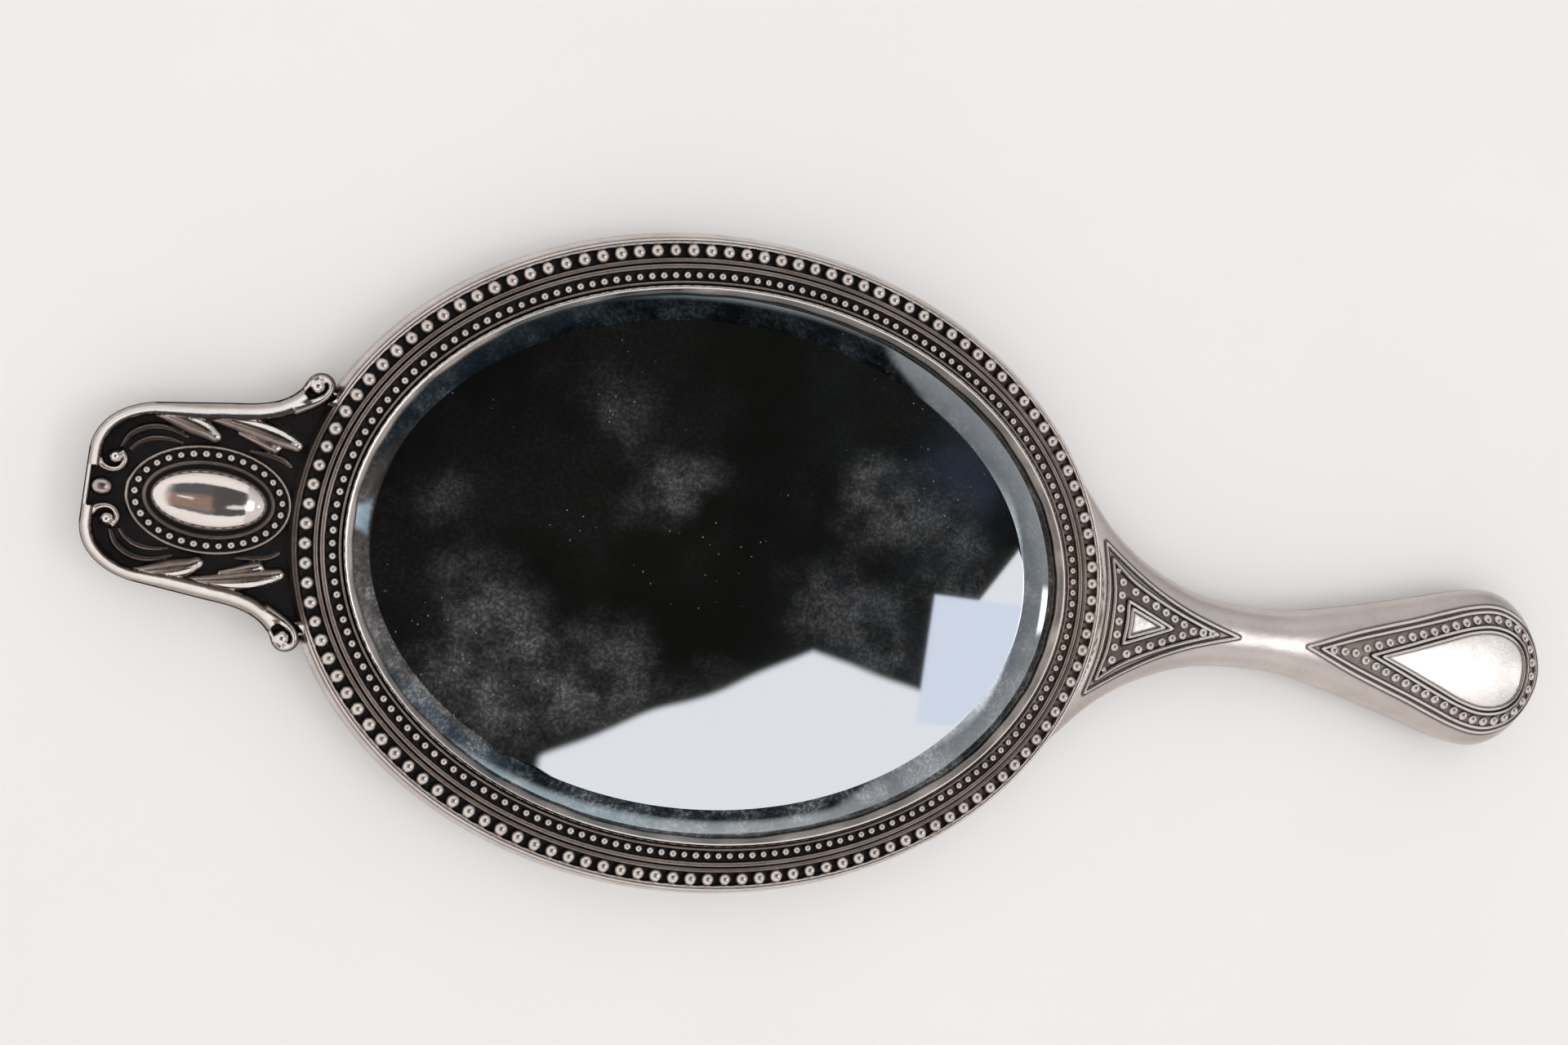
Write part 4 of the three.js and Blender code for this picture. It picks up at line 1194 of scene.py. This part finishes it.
# The cloth's rising edge, its falling edge and the edge of its corner: across = slope * along + offset
CLOTH_EDGES = ((0.52, -0.291), (-0.23, -0.001), (1.55, -0.823))
CORNER_ACROSS = (-0.05, -0.003, 0.001)
CARD = (0.70, 0.75, 0.86)
CARD_ALONG = (0.469, 0.9, 0.001)
CARD_ACROSS = (-0.132, -0.043, 0.001)
CREST_PANE = (1.15, 1.18, 1.2)
CREST_PANE_ALONG = (-0.45, -0.19, 0.03)
CREST_PANE_ACROSS = (-0.072, 0.004, 0.015)
HANDLE_PANE = (4.5, 4.6, 4.7)
HANDLE_PANE_X = (0.80, 0.85, 0.005)
HANDLE_PANE_TILT = (-9, 1.5, 1.5)
WHITE_TENT = (0.98, 0.96, 0.94)  # over the head, and low down at its left (+Y) and its right
WHITE_LEFT = (0.62, 0.62, 0.64)
WHITE_RIGHT = (0.82, 0.76, 0.73)
GREY_TENT = (0.75, 0.73, 0.73)  # over the handle, and at its sides
GREY_LEFT = (0.37, 0.37, 0.39)
GREY_RIGHT = (0.66, 0.61, 0.60)
LIT_BAND = (3.1, 3.05, 3.0)  # the bright band over the handle, and what it fades to past its end
LIT_END = (0.68, 0.67, 0.67)
LIT_TILT = (-19, 11, 6)
BELOW = (0.8, 0.8, 0.8)
BACKDROP = (0.86, 0.85, 0.83)  # what the camera sees past the floor

LAMP_SIZE = 2.4
LAMP_HEIGHT = 1.6
LAMP_POWER = 14

CAMERA_FROM_HEAD = (-83.9, 11.63, 270.3)  # millimetres from the middle of the head
CAMERA_TURN = (-3.4396, -19.1499, 8.9205)  # degrees about X, Y and Z
CAMERA_LENS = 36.84
SENSOR_WIDTH = 36.0


def make_floor():
    """A plain pale round floor."""
    mesh = bpy.data.meshes.new("floor")
    turn = angles_round(FLOOR_SIDES)
    edge = points_of(FLOOR_RADIUS * np.cos(turn), FLOOR_RADIUS * np.sin(turn), FLOOR_Z)
    mesh.from_pydata(edge.tolist(), [], [list(range(FLOOR_SIDES))])
    material, nodes, place = new_material("pale_floor")
    tone = nodes.ramp(nodes.noise(place, 8), FLOOR_TONES)
    mesh.materials.append(set_surface(material, nodes, Base_Color=tone, Roughness=0.9))
    floor = in_scene("floor", mesh)


def cloth_covers(nodes, direction, along, across):
    """1 on the white cloth, below its two straight edges, and 1 on its corner past the card."""
    rise, fall, slant = (
        nodes.plus(nodes.times(along, slope), offset) for slope, offset in CLOTH_EDGES
    )
    ripple = nodes.times(nodes.minus(nodes.noise(direction, 6, 2), 0.5), 0.03)
    top = nodes.plus(nodes.math("MINIMUM", rise, fall), ripple)
    cloth = nodes.spread(nodes.minus(across, top), 0.003, -0.003)
    cloth = nodes.times(cloth, nodes.spread(along, 0.210, 0.217))
    cloth = nodes.times(cloth, nodes.spread(across, -0.33, -0.27))
    corner = nodes.spread(nodes.minus(across, slant), 0.002, -0.002)
    corner = nodes.times(corner, nodes.between(across, *CORNER_ACROSS))
    return cloth, nodes.times(corner, nodes.spread(along, 0.49, 0.495))


def tent_opening(nodes, direction, along, across, tilt):
    """The dark opening over the mirror, with the edge of a white cloth, a pale card and a pane in it."""
    shade = nodes.ramp(nodes.noise(direction, 2.6, 5), DARK_TONES)
    blue = nodes.times(nodes.spread(along, 0.32, 0.55), nodes.spread(nodes.noise(direction, 12, 4), 0.4, 0.7))
    shade = nodes.mix(blue, shade, DARK_BLUE)
    brown = nodes.ramp(nodes.noise(direction, 9, 4), BROWN_TONES)
    brown = nodes.mix(nodes.between(tilt, *BROWN_TILT), BROWN_SIDES, brown)
    brown = nodes.mix(nodes.spread(tilt, 2, 14), brown, SLATE)
    shade = nodes.mix(nodes.spread(along, 0.08, 0.01), shade, brown)
    shade = nodes.mix(nodes.spread(along, -0.7, -0.9), shade, PALE_END)
    for cover in cloth_covers(nodes, direction, along, across):
        shade = nodes.mix(cover, shade, CLOTH)
    card = nodes.times(nodes.between(along, *CARD_ALONG), nodes.between(across, *CARD_ACROSS))
    shade = nodes.mix(card, shade, CARD)
    pane = nodes.times(nodes.between(along, *CREST_PANE_ALONG), nodes.between(across, *CREST_PANE_ACROSS))
    return nodes.mix(pane, shade, CREST_PANE)


def make_world():
    """A white light tent with a dark opening straight above, which the glass and silver reflect."""
    world = bpy.data.worlds.new("light_tent")
    bpy.context.scene.world = world
    world.use_nodes = True
    nodes = Nodes(world.node_tree)
    direction = nodes.add("ShaderNodeTexCoord").outputs["Generated"]
    x, y, z = nodes.add("ShaderNodeSeparateXYZ", Vector=direction).outputs
    up = nodes.math("MAXIMUM", z, 0.02)
    along = nodes.math("DIVIDE", x, up)
    across = nodes.math("DIVIDE", y, up)
    tilt = nodes.times(nodes.math("ARCTAN2", y, z), 180 / math.pi)

    white = nodes.mix(nodes.spread(tilt, 50, 100), WHITE_TENT, WHITE_LEFT)
    white = nodes.mix(nodes.spread(tilt, -50, -100), white, WHITE_RIGHT)
    opening = nodes.times(nodes.between(tilt, *OPENING_TILT), nodes.spread(along, -1.1, -0.5))
    head_side = nodes.mix(opening, white, tent_opening(nodes, direction, along, across, tilt))

    grey = nodes.mix(nodes.spread(tilt, 15, 95), GREY_TENT, GREY_LEFT)
    grey = nodes.mix(nodes.spread(tilt, -20, -95), grey, GREY_RIGHT)
    lit = nodes.mix(nodes.spread(x, 0.645, 0.68), LIT_BAND, LIT_END)
    handle_side = nodes.mix(nodes.between(tilt, *LIT_TILT), grey, lit)
    pane = nodes.times(nodes.between(x, *HANDLE_PANE_X), nodes.between(tilt, *HANDLE_PANE_TILT))
    handle_side = nodes.mix(pane, handle_side, HANDLE_PANE)

    colour = nodes.mix(nodes.spread(x, 0.485, 0.52), head_side, handle_side)
    colour = nodes.mix(nodes.spread(z, 0.02, -0.02), colour, BELOW)
    seen = nodes.add("ShaderNodeLightPath").outputs["Is Camera Ray"]
    nodes.put(world.node_tree.nodes["Background"].inputs["Color"], nodes.mix(seen, colour, BACKDROP))


def make_overhead_light():
    """A large soft lamp straight above that lights the floor and the dust, and isn't reflected."""
    light = bpy.data.lights.new("overhead", "AREA")
    light.shape = "SQUARE"
    light.size = LAMP_SIZE
    light.energy = LAMP_POWER
    lamp = in_scene("overhead", light)
    lamp.location = (0, 0, LAMP_HEIGHT)
    lamp.visible_glossy = False


def make_camera():
    data = bpy.data.cameras.new("camera")
    data.lens = CAMERA_LENS
    data.sensor_width = SENSOR_WIDTH
    data.clip_start = 0.01
    camera = in_scene("camera", data)
    camera.location = metres(CAMERA_FROM_HEAD)
    camera.rotation_euler = [math.radians(angle) for angle in CAMERA_TURN]
    bpy.context.scene.camera = camera


make_floor()
make_world()
make_overhead_light()
make_camera()
bpy.context.scene.view_settings.view_transform = "Standard"
bpy.context.scene.view_settings.look = "None"
